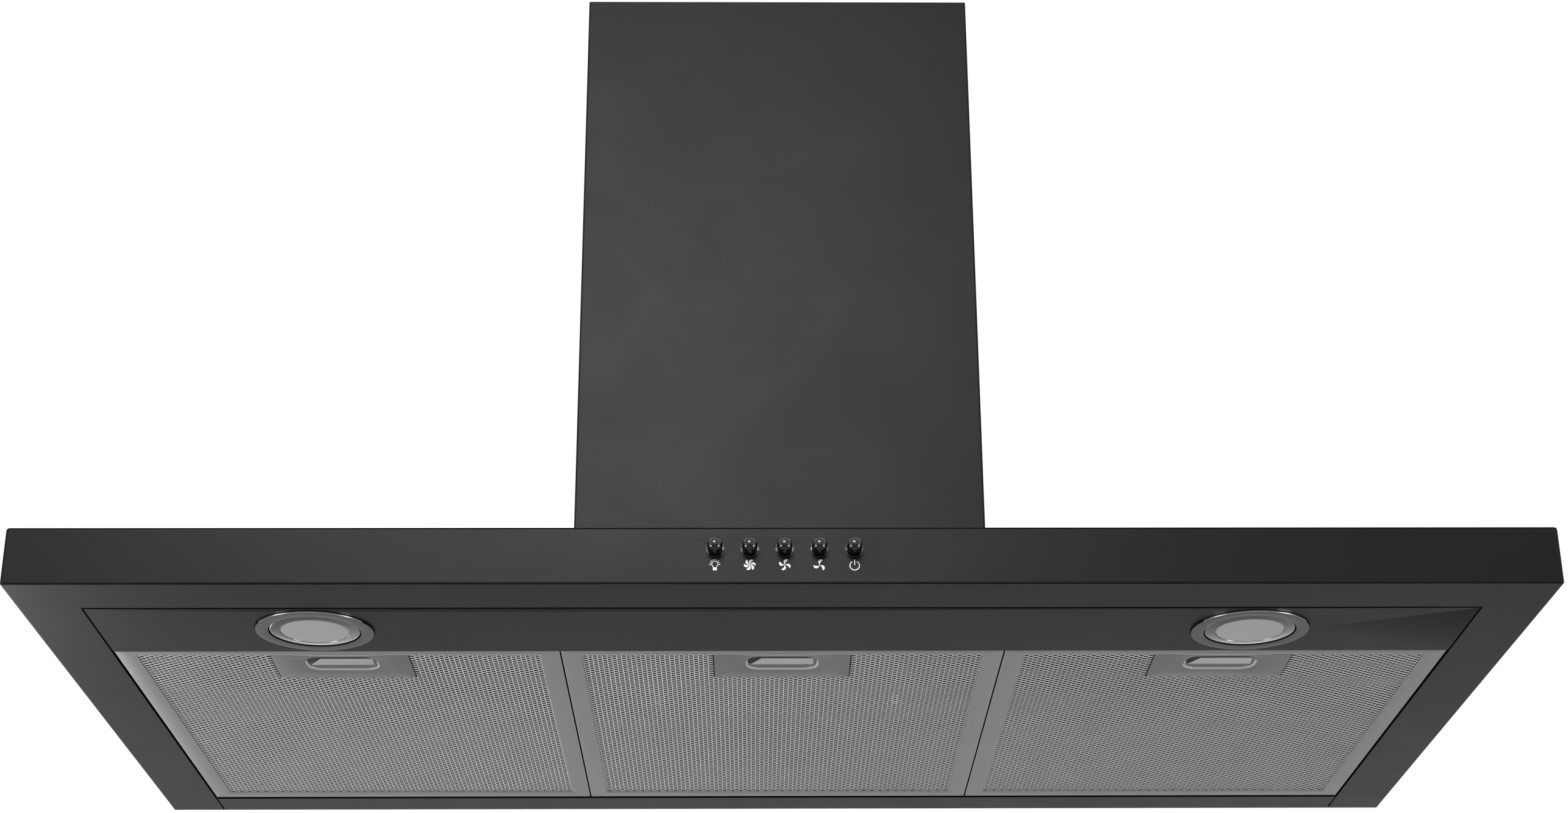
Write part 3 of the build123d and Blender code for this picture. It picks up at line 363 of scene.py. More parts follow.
def opaque(colour):
    """A colour as a socket takes it."""
    return (*colour[:3], 1.0)


def darker(colour, share):
    """A share of a colour. A share above 1 makes it lighter."""
    return tuple(channel * share for channel in colour[:3])


def grey(level):
    return (level, level, level)


def coat(
    name, colour, drift, roughness, metallic=0.0, grain=900.0, height=0.02, stretch=(1.0, 1.0, 1.0),
    brushed=None, raised=None, tone_scale=9.0, **shader,
):
    """A painted, moulded or metal finish with drifting tone, handled roughness and a fine surface.

    brushed holds the lines' scale along and across the grain and their share of the colour. raised
    holds a point attribute and the share of the colour where it is 0, where shade is painted darker.
    """
    material = bpy.data.materials.new(f"hood_{name}")
    material.use_nodes = True
    material.diffuse_color = opaque(colour)
    tree = material.node_tree
    tree.nodes.clear()
    other = opaque(darker(colour, drift))
    tone = effect(tree, "Tone drift", Colour=opaque(colour), Other_colour=other, Scale=tone_scale)[0]
    rough = effect(tree, "Handling", Low=roughness[0], High=roughness[1])[0]
    # painted shade: the colour darkens where the point attribute is 0
    if raised:
        flat = wire(tree, "ShaderNodeAttribute", attribute_name=raised[0]).outputs["Fac"]
        tone = mixed_colour(tree, flat, opaque(darker(colour, raised[1])), tone)
    if brushed:
        lines = effect(tree, "Brushed lines", Along=brushed[0], Across=brushed[1])
        surface = lines["Height"]
        share = math_node(tree, "MULTIPLY", lines["Lines"], brushed[2])
        tone = mixed_colour(tree, share, tone, opaque(darker(colour, 0.55)))
    else:
        surface = effect(tree, "Fine grain", Scale=grain, Stretch=stretch)[0]
    bump = wire(tree, "ShaderNodeBump", {"Height": surface, "Strength": 1.0, "Distance": height * MM})
    sockets = {"Base Color": tone, "Roughness": rough, "Metallic": metallic, "Normal": bump.outputs[0]}
    bsdf = wire(tree, "ShaderNodeBsdfPrincipled", {**sockets, **spaced(shader)})
    wire(tree, "ShaderNodeOutputMaterial", {"Surface": bsdf.outputs[0]})
    return material


def galvanised_sheet():
    """Galvanised steel with its spangle."""
    material = coat("galvanised_steel", (0.42, 0.43, 0.44), 0.9, (0.34, 0.46), metallic=0.85, height=0.01)
    tree = material.node_tree
    bsdf = next(node for node in tree.nodes if node.type == "BSDF_PRINCIPLED")
    crystals = effect(tree, "Spangle", Scale=75.0)[0]
    tone, rough = (bsdf.inputs[name].links[0].from_socket for name in ("Base Color", "Roughness"))
    share = math_node(tree, "MULTIPLY", crystals, 0.55)
    tree.links.new(mixed_colour(tree, share, tone, (0.22, 0.23, 0.24, 1.0)), bsdf.inputs["Base Color"])
    uneven = math_node(tree, "MULTIPLY", crystals, 0.12)
    tree.links.new(math_node(tree, "ADD", rough, uneven), bsdf.inputs["Roughness"])
    return material


def finish_table():
    """Every plain finish: its colour, tone drift and roughness, and what else its coat takes."""
    colours = bpy.context.scene.hood_colours
    enamel, aluminium, latch = tuple(colours.enamel), tuple(colours.aluminium), tuple(colours.latch)
    gloss = "Specular_IOR_Level"
    return {
        "black_enamel": (
            enamel, 0.86, (0.31, 0.36), {"grain": 1400.0, "height": 0.004, "tone_scale": 5.0, gloss: 0.09},
        ),
        # near-black for the shade painted at the canopy's top front edge and in the slot before the filters
        "painted_shade_black": (grey(0.004), 0.8, (0.5, 0.6), {"grain": 1400.0, "height": 0.004, gloss: 0.02}),
        "zinc_steel": (
            (0.46, 0.46, 0.44), 0.8, (0.26, 0.36), {"metallic": 1.0, "grain": 2500.0, "height": 0.006},
        ),
        "spring_steel": (
            (0.32, 0.32, 0.33), 0.8, (0.22, 0.3),
            {"metallic": 1.0, "grain": 600.0, "stretch": (0.1, 4.0, 4.0), "height": 0.004},
        ),
        "filter_aluminium": (
            aluminium, 0.92, (0.36, 0.44),
            {"metallic": 0.75, "height": 0.003, "brushed": (22.0, 4200.0, 0.35), "tone_scale": 6.0},
        ),
        # the net's strands are painted darker than the flats of its knots, as shade
        "net_aluminium": (
            darker(aluminium, 1.95), 0.92, (0.3, 0.42),
            {"metallic": 0.8, "grain": 3000.0, "height": 0.006, "tone_scale": 30.0, "raised": ("flat", 0.35)},
        ),
        # the back net is painted darker than the front one, as shade on the layer that lies behind
        "inner_net_aluminium": (
            darker(aluminium, 0.9), 0.8, (0.4, 0.5),
            {"metallic": 0.6, "grain": 3000.0, "height": 0.006, "tone_scale": 30.0},
        ),
        "latch_grey": (latch, 0.93, (0.4, 0.48), {"grain": 2600.0, "height": 0.004, gloss: 0.45}),
        # a darker grey for the shadow painted in the latch's finger slot
        "latch_painted_shadow": (
            darker(latch, 0.14), 0.9, (0.45, 0.55), {"grain": 2600.0, "height": 0.004, gloss: 0.2},
        ),
        # a lighter grey for the highlight painted on the slot's rear bevel, the plate's front crescent and
        # the slider's ramp
        "latch_painted_highlight": (darker(latch, 3.2), 0.95, (0.3, 0.38), {"grain": 2600.0, "height": 0.003, gloss: 0.5}),
        # polished metal, which is also painted on the bezel's near side only, as a highlight
        "polish_and_painted_highlight": (grey(0.5), 0.9, (0.14, 0.2), {"metallic": 1.0, "grain": 2600.0, "height": 0.001}),
        # black for the shade painted round the bezel: on its foot ring, its far rim and its bore
        "lamp_painted_shade": (grey(0.006), 0.9, (0.5, 0.6), {"grain": 2600.0, "height": 0.002, gloss: 0.05}),
        "lamp_steel": (
            grey(0.14), 0.92, (0.36, 0.44),
            {"metallic": 0.45, "height": 0.001, "brushed": (18.0, 3000.0, 0.2)},
        ),
        # the trim ring is painted lighter on its far side as highlight and darker on its near side as shade
        "lamp_reflector": (
            grey(0.62), 0.92, (0.14, 0.2),
            {"metallic": 0.95, "height": 0.0006, "brushed": (10.0, 2200.0, 0.12), "raised": ("far", 0.27)},
        ),
        "frosted_glass": (
            tuple(colours.glass), 0.96, (0.42, 0.5),
            {
                "grain": 3200.0, "height": 0.003, "Subsurface_Weight": 0.15,
                "Subsurface_Radius": (0.002, 0.002, 0.002),
            },
        ),
        "lamp_can_metal": (
            grey(0.42), 0.85, (0.34, 0.44), {"metallic": 0.9, "grain": 1800.0, "height": 0.006},
        ),
        "black_chrome": (grey(0.004), 0.9, (0.04, 0.06), {"grain": 500.0, "height": 0.0002, gloss: 0.65}),
        "black_plastic": (grey(0.02), 0.85, (0.42, 0.55), {"grain": 1500.0, "height": 0.01}),
        "blower_plastic": ((0.07, 0.07, 0.075), 0.85, (0.45, 0.58), {"grain": 1200.0, "height": 0.015}),
        "impeller_plastic": ((0.14, 0.14, 0.147), 0.88, (0.42, 0.55), {"grain": 1200.0, "height": 0.012}),
        "white_plastic": ((0.6, 0.6, 0.58), 0.95, (0.35, 0.45), {"grain": 1200.0, "height": 0.008}),
        "motor_metal": (
            (0.2, 0.2, 0.21), 0.75, (0.4, 0.55), {"metallic": 0.7, "grain": 700.0, "height": 0.02},
        ),
        "white_print": (tuple(colours.symbols), 0.97, (0.5, 0.6), {"grain": 3000.0, "height": 0.002}),
    }


FINISHES = {}


def finish(name):
    """The named finish, made at its first use."""
    if name not in FINISHES:
        if name == "galvanised_steel":
            FINISHES[name] = galvanised_sheet()
        else:
            colour, drift, roughness, more = finish_table()[name]
            FINISHES[name] = coat(name, colour, drift, roughness, **more)
    return FINISHES[name]


# ----------------------------------------------------------------- mesh helpers


def ring(bm, points):
    """New mesh points, in a row that bridge can skin."""
    return [bm.verts.new(point) for point in points]


def bridge(bm, low, high):
    """Faces between two rings of points. Either ring may be a single point."""
    count = max(len(low), len(high))
    made = []
    for index in range(count):
        after = (index + 1) % count
        corners = []
        for vert in (
            low[index % len(low)], low[after % len(low)], high[after % len(high)], high[index % len(high)]
        ):
            if vert not in corners:
                corners.append(vert)
        if len(corners) > 2:
            made.append(bm.faces.new(corners))
    return made


def loft(bm, outlines):
    """Skins a row of outlines that have the same number of points, and caps both ends."""
    rings = [ring(bm, points) for points in outlines]
    for low, high in zip(rings, rings[1:]):
        bridge(bm, low, high)
    bm.faces.new(list(reversed(rings[0])))
    bm.faces.new(rings[-1])


def rounded_outline(left, right, front, rear, radius, z, steps=5):
    """A rounded rectangle at one height, anticlockwise from above."""
    radius = max(radius, SMALLEST_CORNER)
    corners = (
        (right - radius, front + radius, -90),
        (right - radius, rear - radius, 0),
        (left + radius, rear - radius, 90),
        (left + radius, front + radius, 180),
    )
    points = []
    for x, y, start in corners:
        for step in range(steps + 1):
            angle = math.radians(start + 90 * step / steps)
            points.append(Vector((x + radius * math.cos(angle), y + radius * math.sin(angle), z)))
    return points


def inset_outline(low, high, corner, inset, z, steps):
    """A rounded rectangle that is drawn in from a box by an inset."""
    return rounded_outline(
        low[0] + inset, high[0] - inset, low[1] + inset, high[1] - inset, corner - inset, z, steps
    )


def rounded_block(bm, low, high, corner=0.6 * MM, edge=0.3 * MM):
    """A block with rounded upright corners and softened top and bottom edges."""
    under, over = [], []
    for share in (0.0, 0.5, 1.0):
        inset = edge * (1 - math.sin(share * math.pi / 2))
        rise = edge * (1 - math.cos(share * math.pi / 2))
        under.append(inset_outline(low, high, corner, inset, low[2] + rise, 4))
        over.append(inset_outline(low, high, corner, inset, high[2] - rise, 4))
    loft(bm, under + over[::-1])


DIRECTIONS = {
    "X": (Vector((0, 1, 0)), Vector((0, 0, 1)), Vector((1, 0, 0))),
    "Y": (Vector((0, 0, 1)), Vector((1, 0, 0)), Vector((0, 1, 0))),
    "Z": (Vector((1, 0, 0)), Vector((0, 1, 0)), Vector((0, 0, 1))),
}


def turned(bm, profile, centre, axis, steps, closed=False):
    """Turns a profile of (radius, place along the axis) about an axis, with a grain map round it."""
    across, upward, along = DIRECTIONS[axis]
    grain = bm.loops.layers.uv.get("grain") or bm.loops.layers.uv.new("grain")
    angles = [2 * math.pi * step / steps for step in range(steps)]
    rings, travel = [], [0.0]
    for index, (radius, place) in enumerate(profile):
        base = Vector(centre) + along * place
        if radius < ON_AXIS:
            rings.append([bm.verts.new(base)])
        else:
            spots = [
                base + across * radius * math.cos(a) + upward * radius * math.sin(a) for a in angles
            ]
            rings.append(ring(bm, spots))
        if index:
            travel.append(travel[-1] + math.dist(profile[index - 1], profile[index]))
    pairs = list(zip(range(len(rings)), range(1, len(rings))))
    if closed:
        pairs.append((len(rings) - 1, 0))
    widest = max(radius for radius, place in profile)
    for low, high in pairs:
        first, second = rings[low], rings[high]
        for number, face in enumerate(bridge(bm, first, second)):
            for loop in face.loops:
                vert = loop.vert
                in_low = vert in (first[number % len(first)], first[(number + 1) % len(first)])
                row = first if in_low else second
                step = number if vert == row[number % len(row)] else number + 1
                loop[grain].uv = (2 * math.pi * widest * step / steps, travel[low if in_low else high])


def curve_points(centre, radius, start, end, steps):
    """Points (a, b) along an arc, for a profile."""
    angles = [math.radians(start + (end - start) * step / steps) for step in range(steps + 1)]
    return [(centre[0] + radius * math.cos(a), centre[1] + radius * math.sin(a)) for a in angles]


def scaled(profile):
    """A profile in millimetres as one in metres."""
    return [(a * MM, b * MM) for a, b in profile]


def shade(mesh, sharp=SHARP):
    """Shades round parts smooth and keeps edges sharp."""
    mesh.shade_smooth()
    mesh.set_sharp_from_angle(angle=math.radians(sharp))


def to_mesh(bm, name, sharp=SHARP, recalculate=True):
    """Closes off a piece's mesh: doubles merged, faces outwards, round parts smooth and edges sharp."""
    bmesh.ops.remove_doubles(bm, verts=bm.verts, dist=WELD)
    if recalculate:
        bmesh.ops.recalc_face_normals(bm, faces=bm.faces)
    mesh = bpy.data.meshes.new(name)
    bm.to_mesh(mesh)
    bm.free()
    shade(mesh, sharp)
    return mesh


def stand_for(name, mesh, node, surface=None):
    """Makes a mesh the shown piece for a CAD node: it rides on its body and takes its slot."""
    piece = linked(name, mesh)
    if mesh.materials:
        mesh.materials.clear()
    mesh.materials.append(finish(surface or SLOT_OF[node]))
    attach(piece, frame["nodes"][node]["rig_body"])
    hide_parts(node)
    return piece


def also(piece, *surfaces):
    """Adds finishes for the piece's faces with material index 1, 2 and so on."""
    for surface in surfaces:
        piece.data.materials.append(finish(surface))


def merged(node):
    """A copy of a CAD node's mesh with its loose triangles joined."""
    bm = bmesh.new()
    bm.from_mesh(frame["nodes"][node].data)
    bmesh.ops.remove_doubles(bm, verts=bm.verts, dist=CAD_WELD)
    return bm


def smooth_copy(node):
    """A CAD piece with its round parts shaded smooth and its flat faces flat."""
    name = f"{node}_piece"
    piece = stand_for(name, to_mesh(merged(node), name, CAD_SHARP, recalculate=False), node)
    weighted = piece.modifiers.new("Flat faces first", "WEIGHTED_NORMAL")
    weighted.keep_sharp = True
    return piece


def solids_of(node):
    """The separate solids in a CAD node, each as the list of its points."""
    bm = merged(node)
    seen, found = set(), []
    for start in bm.verts:
        if start in seen:
            continue
        stack, points = [start], []
        seen.add(start)
        while stack:
            vert = stack.pop()
            points.append(vert.co.copy())
            for edge in vert.link_edges:
                other = edge.other_vert(vert)
                if other not in seen:
                    seen.add(other)
                    stack.append(other)
        found.append(points)
    bm.free()
    return found


def box_of(points):
    """The low and the high corner of the box round some points."""
    return [Vector(pick(p[i] for p in points) for i in range(3)) for pick in (min, max)]


def grown(name, tree, values):
    """The plain mesh that a geometry tree makes."""
    carrier = linked(name, bpy.data.meshes.new(name))
    modifier = carrier.modifiers.new("Grow", "NODES")
    modifier.node_group = tree
    for item in tree.interface.items_tree:
        if item.item_type == "SOCKET" and item.in_out == "INPUT" and item.name in values:
            modifier[item.identifier] = values[item.name]
    mesh = evaluated_mesh(carrier)
    mesh.name = name
    bpy.data.objects.remove(carrier)
    if not mesh.polygons:
        raise RuntimeError(f"the geometry tree {tree.name} made nothing for {name}")
    return mesh


def cut_out(mesh, boxes):
    """Cuts boxes out of a mesh."""
    bm = bmesh.new()
    for low, high in boxes:
        middle = [(a + b) / 2 for a, b in zip(low, high)]
        size = [b - a for a, b in zip(low, high)]
        bmesh.ops.create_cube(bm, size=1.0, matrix=Matrix.Translation(middle) @ Matrix.Diagonal((*size, 1.0)))
    cutter_mesh = bpy.data.meshes.new("cutter")
    bm.to_mesh(cutter_mesh)
    bm.free()
    target, cutter = linked("cut target", mesh), linked("cutter", cutter_mesh)
    modifier = target.modifiers.new("Cut", "BOOLEAN")
    modifier.operation = "DIFFERENCE"
    modifier.solver = "EXACT"
    modifier.use_self = len(boxes) > 1
    modifier.object = cutter
    result = evaluated_mesh(target)
    for helper in (target, cutter):
        bpy.data.objects.remove(helper)
    shade(result)
    return result


def tongue_slot(middle, front, rear, base):
    """The box that leaves room for a latch tongue."""
    low = (middle - TONGUE_HALF, front - MM, base + TONGUE_LOW)
    return low, (middle + TONGUE_HALF, rear, base + TONGUE_HIGH)


# --------------------------------------------------------------- geometry trees


def planted(tree, start, end, points, source, rotation=None, weld=None):
    """Ends a tree: one object at each point, made real, welded where asked, in the tree's finish."""
    thing = wire(tree, "GeometryNodeObjectInfo", {"Object": start[source]}).outputs["Geometry"]
    sockets = {"Points": points, "Instance": thing}
    if rotation:
        sockets["Rotation"] = rotation
    spread = wire(tree, "GeometryNodeInstanceOnPoints", sockets).outputs[0]
    real = wire(tree, "GeometryNodeRealizeInstances", {0: spread}).outputs[0]
    if weld:
        real = wire(tree, "GeometryNodeMergeByDistance", {"Geometry": real, "Distance": weld}).outputs[0]
    shown = wire(tree, "GeometryNodeSetMaterial", {"Geometry": real, "Material": start["Finish"]})
    tree.links.new(shown.outputs[0], end["Geometry"])
    return tree


def net_tree():
    """Expanded metal: staggered rows of one cell, with none over the latch."""
    tree, start, end = node_tree(
        "Expanded net",
        "GeometryNodeTree",
        [
            ("Cell", "Object", None),
            ("Columns", "Int", NET_COLUMNS),
            ("Rows", "Int", NET_ROWS),
            ("Pitch across", "Float", 0.006),
            ("Pitch deep", "Float", 0.0044),
            ("Centre", "Vector", (0.0, 0.0, 0.0)),
            ("Latch half width", "Float", 0.043),
            ("Latch rear", "Float", -0.311),
            ("Finish", "Material", None),
        ],
        [("Geometry", "Geometry")],
    )
    joined = wire(tree, "GeometryNodeJoinGeometry")
    # the second grid has one column and one row less, so its points fall between the first one's
    for fewer in (1, 2):
        across = math_node(tree, "SUBTRACT", start["Columns"], float(fewer))
        deep = math_node(tree, "SUBTRACT", start["Rows"], float(fewer))
        grid = wire(
            tree, "GeometryNodeMeshGrid",
            {
                "Size X": math_node(tree, "MULTIPLY", across, start["Pitch across"]),
                "Size Y": math_node(tree, "MULTIPLY", deep, start["Pitch deep"]),
                "Vertices X": math_node(tree, "ADD", across, 1.0),
                "Vertices Y": math_node(tree, "ADD", deep, 1.0),
            },
        )
        tree.links.new(grid.outputs["Mesh"], joined.inputs[0])
    placed = wire(tree, "GeometryNodeSetPosition", {"Geometry": joined.outputs[0], "Offset": start["Centre"]})
    position = wire(tree, "GeometryNodeInputPosition").outputs[0]
    spot = wire(tree, "ShaderNodeSeparateXYZ", {0: position}).outputs
    centre = wire(tree, "ShaderNodeSeparateXYZ", {0: start["Centre"]}).outputs
    aside = math_node(tree, "ABSOLUTE", math_node(tree, "SUBTRACT", spot[0], centre[0]))
    within = math_node(tree, "LESS_THAN", aside, start["Latch half width"])
    before = math_node(tree, "LESS_THAN", spot[1], start["Latch rear"])
    latched = math_node(tree, "MULTIPLY", within, before)
    kept = wire(
        tree, "GeometryNodeDeleteGeometry", {"Geometry": placed.outputs[0], "Selection": latched},
        domain="POINT",
    )
    return planted(tree, start, end, kept.outputs[0], "Cell", weld=NET_WELD)


def fixings_tree():
    """Puts one fixing, such as a screw, at each point, turned to face the way the point says."""
    tree, start, end = node_tree(
        "Fixings",
        "GeometryNodeTree",
        [
            ("Places", "Object", None),
            ("Fixing", "Object", None),
            ("Seed", "Int", 7),
            ("Finish", "Material", None),
        ],
        [("Geometry", "Geometry")],
    )
    places = wire(tree, "GeometryNodeObjectInfo", {"Object": start["Places"]}).outputs["Geometry"]
    facing = wire(tree, "GeometryNodeInputNamedAttribute", {"Name": "facing"}, data_type="FLOAT_VECTOR")
    upright = wire(
        tree, "FunctionNodeAlignRotationToVector", {"Vector": facing.outputs[0]}, axis="Z"
    ).outputs[0]
    # sockets 2 and 3 are the lowest and highest plain number
    turn = wire(
        tree, "FunctionNodeRandomValue", {2: 0.0, 3: FULL_TURN, "Seed": start["Seed"]}, data_type="FLOAT"
    )
    spin = wire(tree, "FunctionNodeAxisAngleToRotation", {"Axis": (0.0, 0.0, 1.0), "Angle": turn.outputs[1]})
    aimed = wire(
        tree, "FunctionNodeRotateRotation", {"Rotation": upright, "Rotate By": spin.outputs[0]},
        rotation_space="LOCAL",
    )
    return planted(tree, start, end, places, "Fixing", aimed.outputs[0])


def blades_tree():
    """The impeller's blades, evenly round an axis that runs along X."""
    tree, start, end = node_tree(
        "Impeller blades",
        "GeometryNodeTree",
        [
            ("Blade", "Object", None),
            ("Count", "Int", 36),
            ("Centre", "Vector", (0.0, 0.0, 0.0)),
            ("Finish", "Material", None),
        ],
        [("Geometry", "Geometry")],
    )
    points = wire(tree, "GeometryNodePoints", {"Count": start["Count"], "Position": start["Centre"]})
    share = math_node(tree, "DIVIDE", wire(tree, "GeometryNodeInputIndex").outputs[0], start["Count"])
    angle = math_node(tree, "MULTIPLY", share, 2 * math.pi)
    turn = wire(tree, "FunctionNodeAxisAngleToRotation", {"Axis": (1.0, 0.0, 0.0), "Angle": angle})
    return planted(tree, start, end, points.outputs[0], "Blade", turn.outputs[0])


# ------------------------------------------------------------------- operators


class HoodPiece:
    """What the hood's operators share: execute runs an operator's own make with the sizes."""

    bl_options = {"REGISTER"}

    def execute(self, context):
        self.make(context.scene.hood_sizes)
        return {"FINISHED"}


class HOOD_OT_canopy(HoodPiece, bpy.types.Operator):
    """Makes the canopy shell, its back panel and the base frame"""

    bl_idname = "hood.canopy"
    bl_label = "Canopy and base frame"

    def blacken(self, piece, chosen):
        """Paints shade on the chosen faces with a near-black finish."""
        also(piece, "painted_shade_black")
        for face in piece.data.polygons:
            if chosen(face.center, face.normal):
                face.material_index = 1

    def make(self, sizes):
        low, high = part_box("canopy_shell")
        # the top edge of the front, and the slot between the front rail and the filters, where shade is
        # painted black
        edge, slot_rear = 1.5 * MM, low.y + 41 * MM
        slot_depth, slot_lip, slot_top = 16 * MM, 2.05 * MM, 1.65 * MM
        self.blacken(
            smooth_copy("canopy_shell"),
            lambda spot, way: spot.y < low.y + edge and spot.z > high.z - edge and way.z > 0.15,
        )
        smooth_copy("back_panel")
        self.blacken(
            smooth_copy("base_frame"),
            lambda spot, way: slot_rear - slot_depth < spot.y < slot_rear + slot_lip and spot.z < slot_top,
        )


class HOOD_OT_symbols(HoodPiece, bpy.types.Operator):
    """Prints the white symbols under the buttons"""

    bl_idname = "hood.symbols"
    bl_label = "Button symbols"

    def make(self, sizes):
        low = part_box("canopy_shell")[0]
        # the print's back lies in the sheet and its face just before it
        back_y, face_y = low.y + 0.01 * MM, low.y - 0.04 * MM
        bm = bmesh.new()

        def flat(points):
            """A closed outline of (x, z) points as a thin print."""
            back, face = (ring(bm, [(x, y, z) for x, z in points]) for y in (back_y, face_y))
            bridge(bm, back, face)
            bm.faces.new(face)
            bm.faces.new(list(reversed(back)))

        def stroke(points, width):
            """A line of even width through (x, z) points, with rounded ends."""
            left, right, caps = [], [], []
            for index, (x, z) in enumerate(points):
                before, after = points[max(index - 1, 0)], points[min(index + 1, len(points) - 1)]
                along = Vector((after[0] - before[0], after[1] - before[1])).normalized()
                left.append((x - along.y * width / 2, z + along.x * width / 2))
                right.append((x + along.y * width / 2, z - along.x * width / 2))
            for end, inward in ((points[-1], points[-2]), (points[0], points[1])):
                way = (Vector(end) - Vector(inward)).normalized()
                side = Vector((-way.y, way.x))
                angles = [math.pi * step / 6 for step in range(1, 6)]
                rim = [Vector(end) + (side * math.cos(a) + way * math.sin(a)) * width / 2 for a in angles]
                caps.append([tuple(spot) for spot in rim])
            flat(left + caps[0] + right[::-1] + caps[1])

        def fan(x, z, blades, reach, turn, steps=9):
            """A fan with curved blades that start at a turn in degrees."""
            for blade in range(blades):
                base = math.radians(turn + 360 * blade / blades)
                outline = []
                for side in (1, -1):
                    for step in range(steps + 1):
                        share = step / steps if side == 1 else 1 - step / steps
                        radius = reach * (0.04 + 0.96 * share)
                        swell = math.sin(math.pi * min(1.0, share * 0.86) ** 1.5)
                        over = side * ((0.05 + 0.46 * swell) * reach / 2)
                        angle = base - 0.62 * share**1.6
                        across, up = math.cos(angle), math.sin(angle)
                        outline.append((x + radius * across - over * up, z + radius * up + over * across))
                flat(outline)

        boxes = [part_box(f"button_{name}") for name in BUTTONS]
        centres = [(button_low.x + button_high.x) / 2 for button_low, button_high in boxes]
        middle, line = low.z + 11.5 * MM, 0.42 * MM
        # the lamp: a bulb outline, its cap and nine rays, every other one short
        x, bulb_z = centres[0], middle + 0.5 * MM
        neck, neck_z = 0.95 * MM, middle - 1.75 * MM
        bulb = curve_points((x, bulb_z), 1.75 * MM, -52, 232, 22)
        stroke([(x + neck, neck_z)] + bulb + [(x - neck, neck_z)], line)
        cap = rounded_outline(
            x - 1.15 * MM, x + 1.15 * MM, middle - 3.4 * MM, middle - 1.55 * MM, 0.4 * MM, 0
        )
        flat([(p.x, p.y) for p in cap])
        for index in range(9):
            angle = math.radians(-8 + 24.5 * index)
            ray = [reach * MM for reach in (2.4, 2.75 if index % 2 else 3.05)]
            stroke([(x + r * math.cos(angle), bulb_z + r * math.sin(angle)) for r in ray], line)
        fan(centres[1], middle, 6, 3.4 * MM, 98)
        fan(centres[2], middle, 4, 3.5 * MM, 100)
        fan(centres[3], middle - 0.3 * MM, 3, 3.6 * MM, 105)
        # the power sign: an open ring and a bar
        x = centres[4]
        stroke(curve_points((x, middle - 0.5 * MM), 2.75 * MM, 122, 418, 30), 0.5 * MM)
        stroke([(x, middle + 0.1 * MM), (x, middle + 2.9 * MM)], 0.55 * MM)
        mesh = to_mesh(bm, "button_symbols")
        mesh.materials.append(finish("white_print"))
        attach(linked("button_symbols", mesh), "root")


class HOOD_OT_buttons(HoodPiece, bpy.types.Operator):
    """Turns the five button caps, their collars and the switch block behind them"""

    bl_idname = "hood.buttons"
    bl_label = "Buttons"

    def make(self, sizes):
        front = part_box("canopy_shell")[0].y
        low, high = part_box("button_guides")
        plate_front, plate_rear, leg = front + 1 * MM, front + 3 * MM, 2 * MM
        flange_front, flange_rear = front + 3.3 * MM, front + 5.3 * MM
        bm = bmesh.new()
        rounded_block(bm, (low.x, plate_front, low.z), (high.x, plate_rear, high.z))
        for side in (-1, 1):
            near, far = sorted((side * high.x, side * (high.x - leg)))
            rounded_block(bm, (near, plate_rear, low.z), (far, high.y, high.z))
        seat, lip = front + 1.2 * MM, low.y + 0.25 * MM
        collar = [(5.3 * MM, seat), (5.3 * MM, lip)]
        collar += curve_points((5.05 * MM, lip), 0.25 * MM, 0, -180, 8) + [(4.8 * MM, seat)]
        for name in BUTTONS:
            low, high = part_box(f"button_{name}")
            centre = ((low.x + high.x) / 2, 0, (low.z + high.z) / 2)
            turned(bm, collar, centre, "Y", sizes.round_steps, closed=True)
            radius, flange, stem = 4.45 * MM, 6 * MM, 2 * MM
            profile = [(0.0, low.y)] + curve_points((0, low.y + radius), radius, -86, 0, 22)
            profile += [(radius, flange_front), (flange, flange_front), (flange, flange_rear)]
            profile += [(stem, flange_rear), (stem, high.y - 0.3 * MM), (1.7 * MM, high.y), (0.0, high.y)]
            cap = bmesh.new()
            turned(cap, profile, centre, "Y", sizes.round_steps)
            stand_for(f"button_{name}_cap", to_mesh(cap, f"button_{name}_cap"), f"button_{name}")
        stand_for("button_collars", to_mesh(bm, "button_collars"), "button_guides", "black_chrome")
        smooth_copy("switch_block")


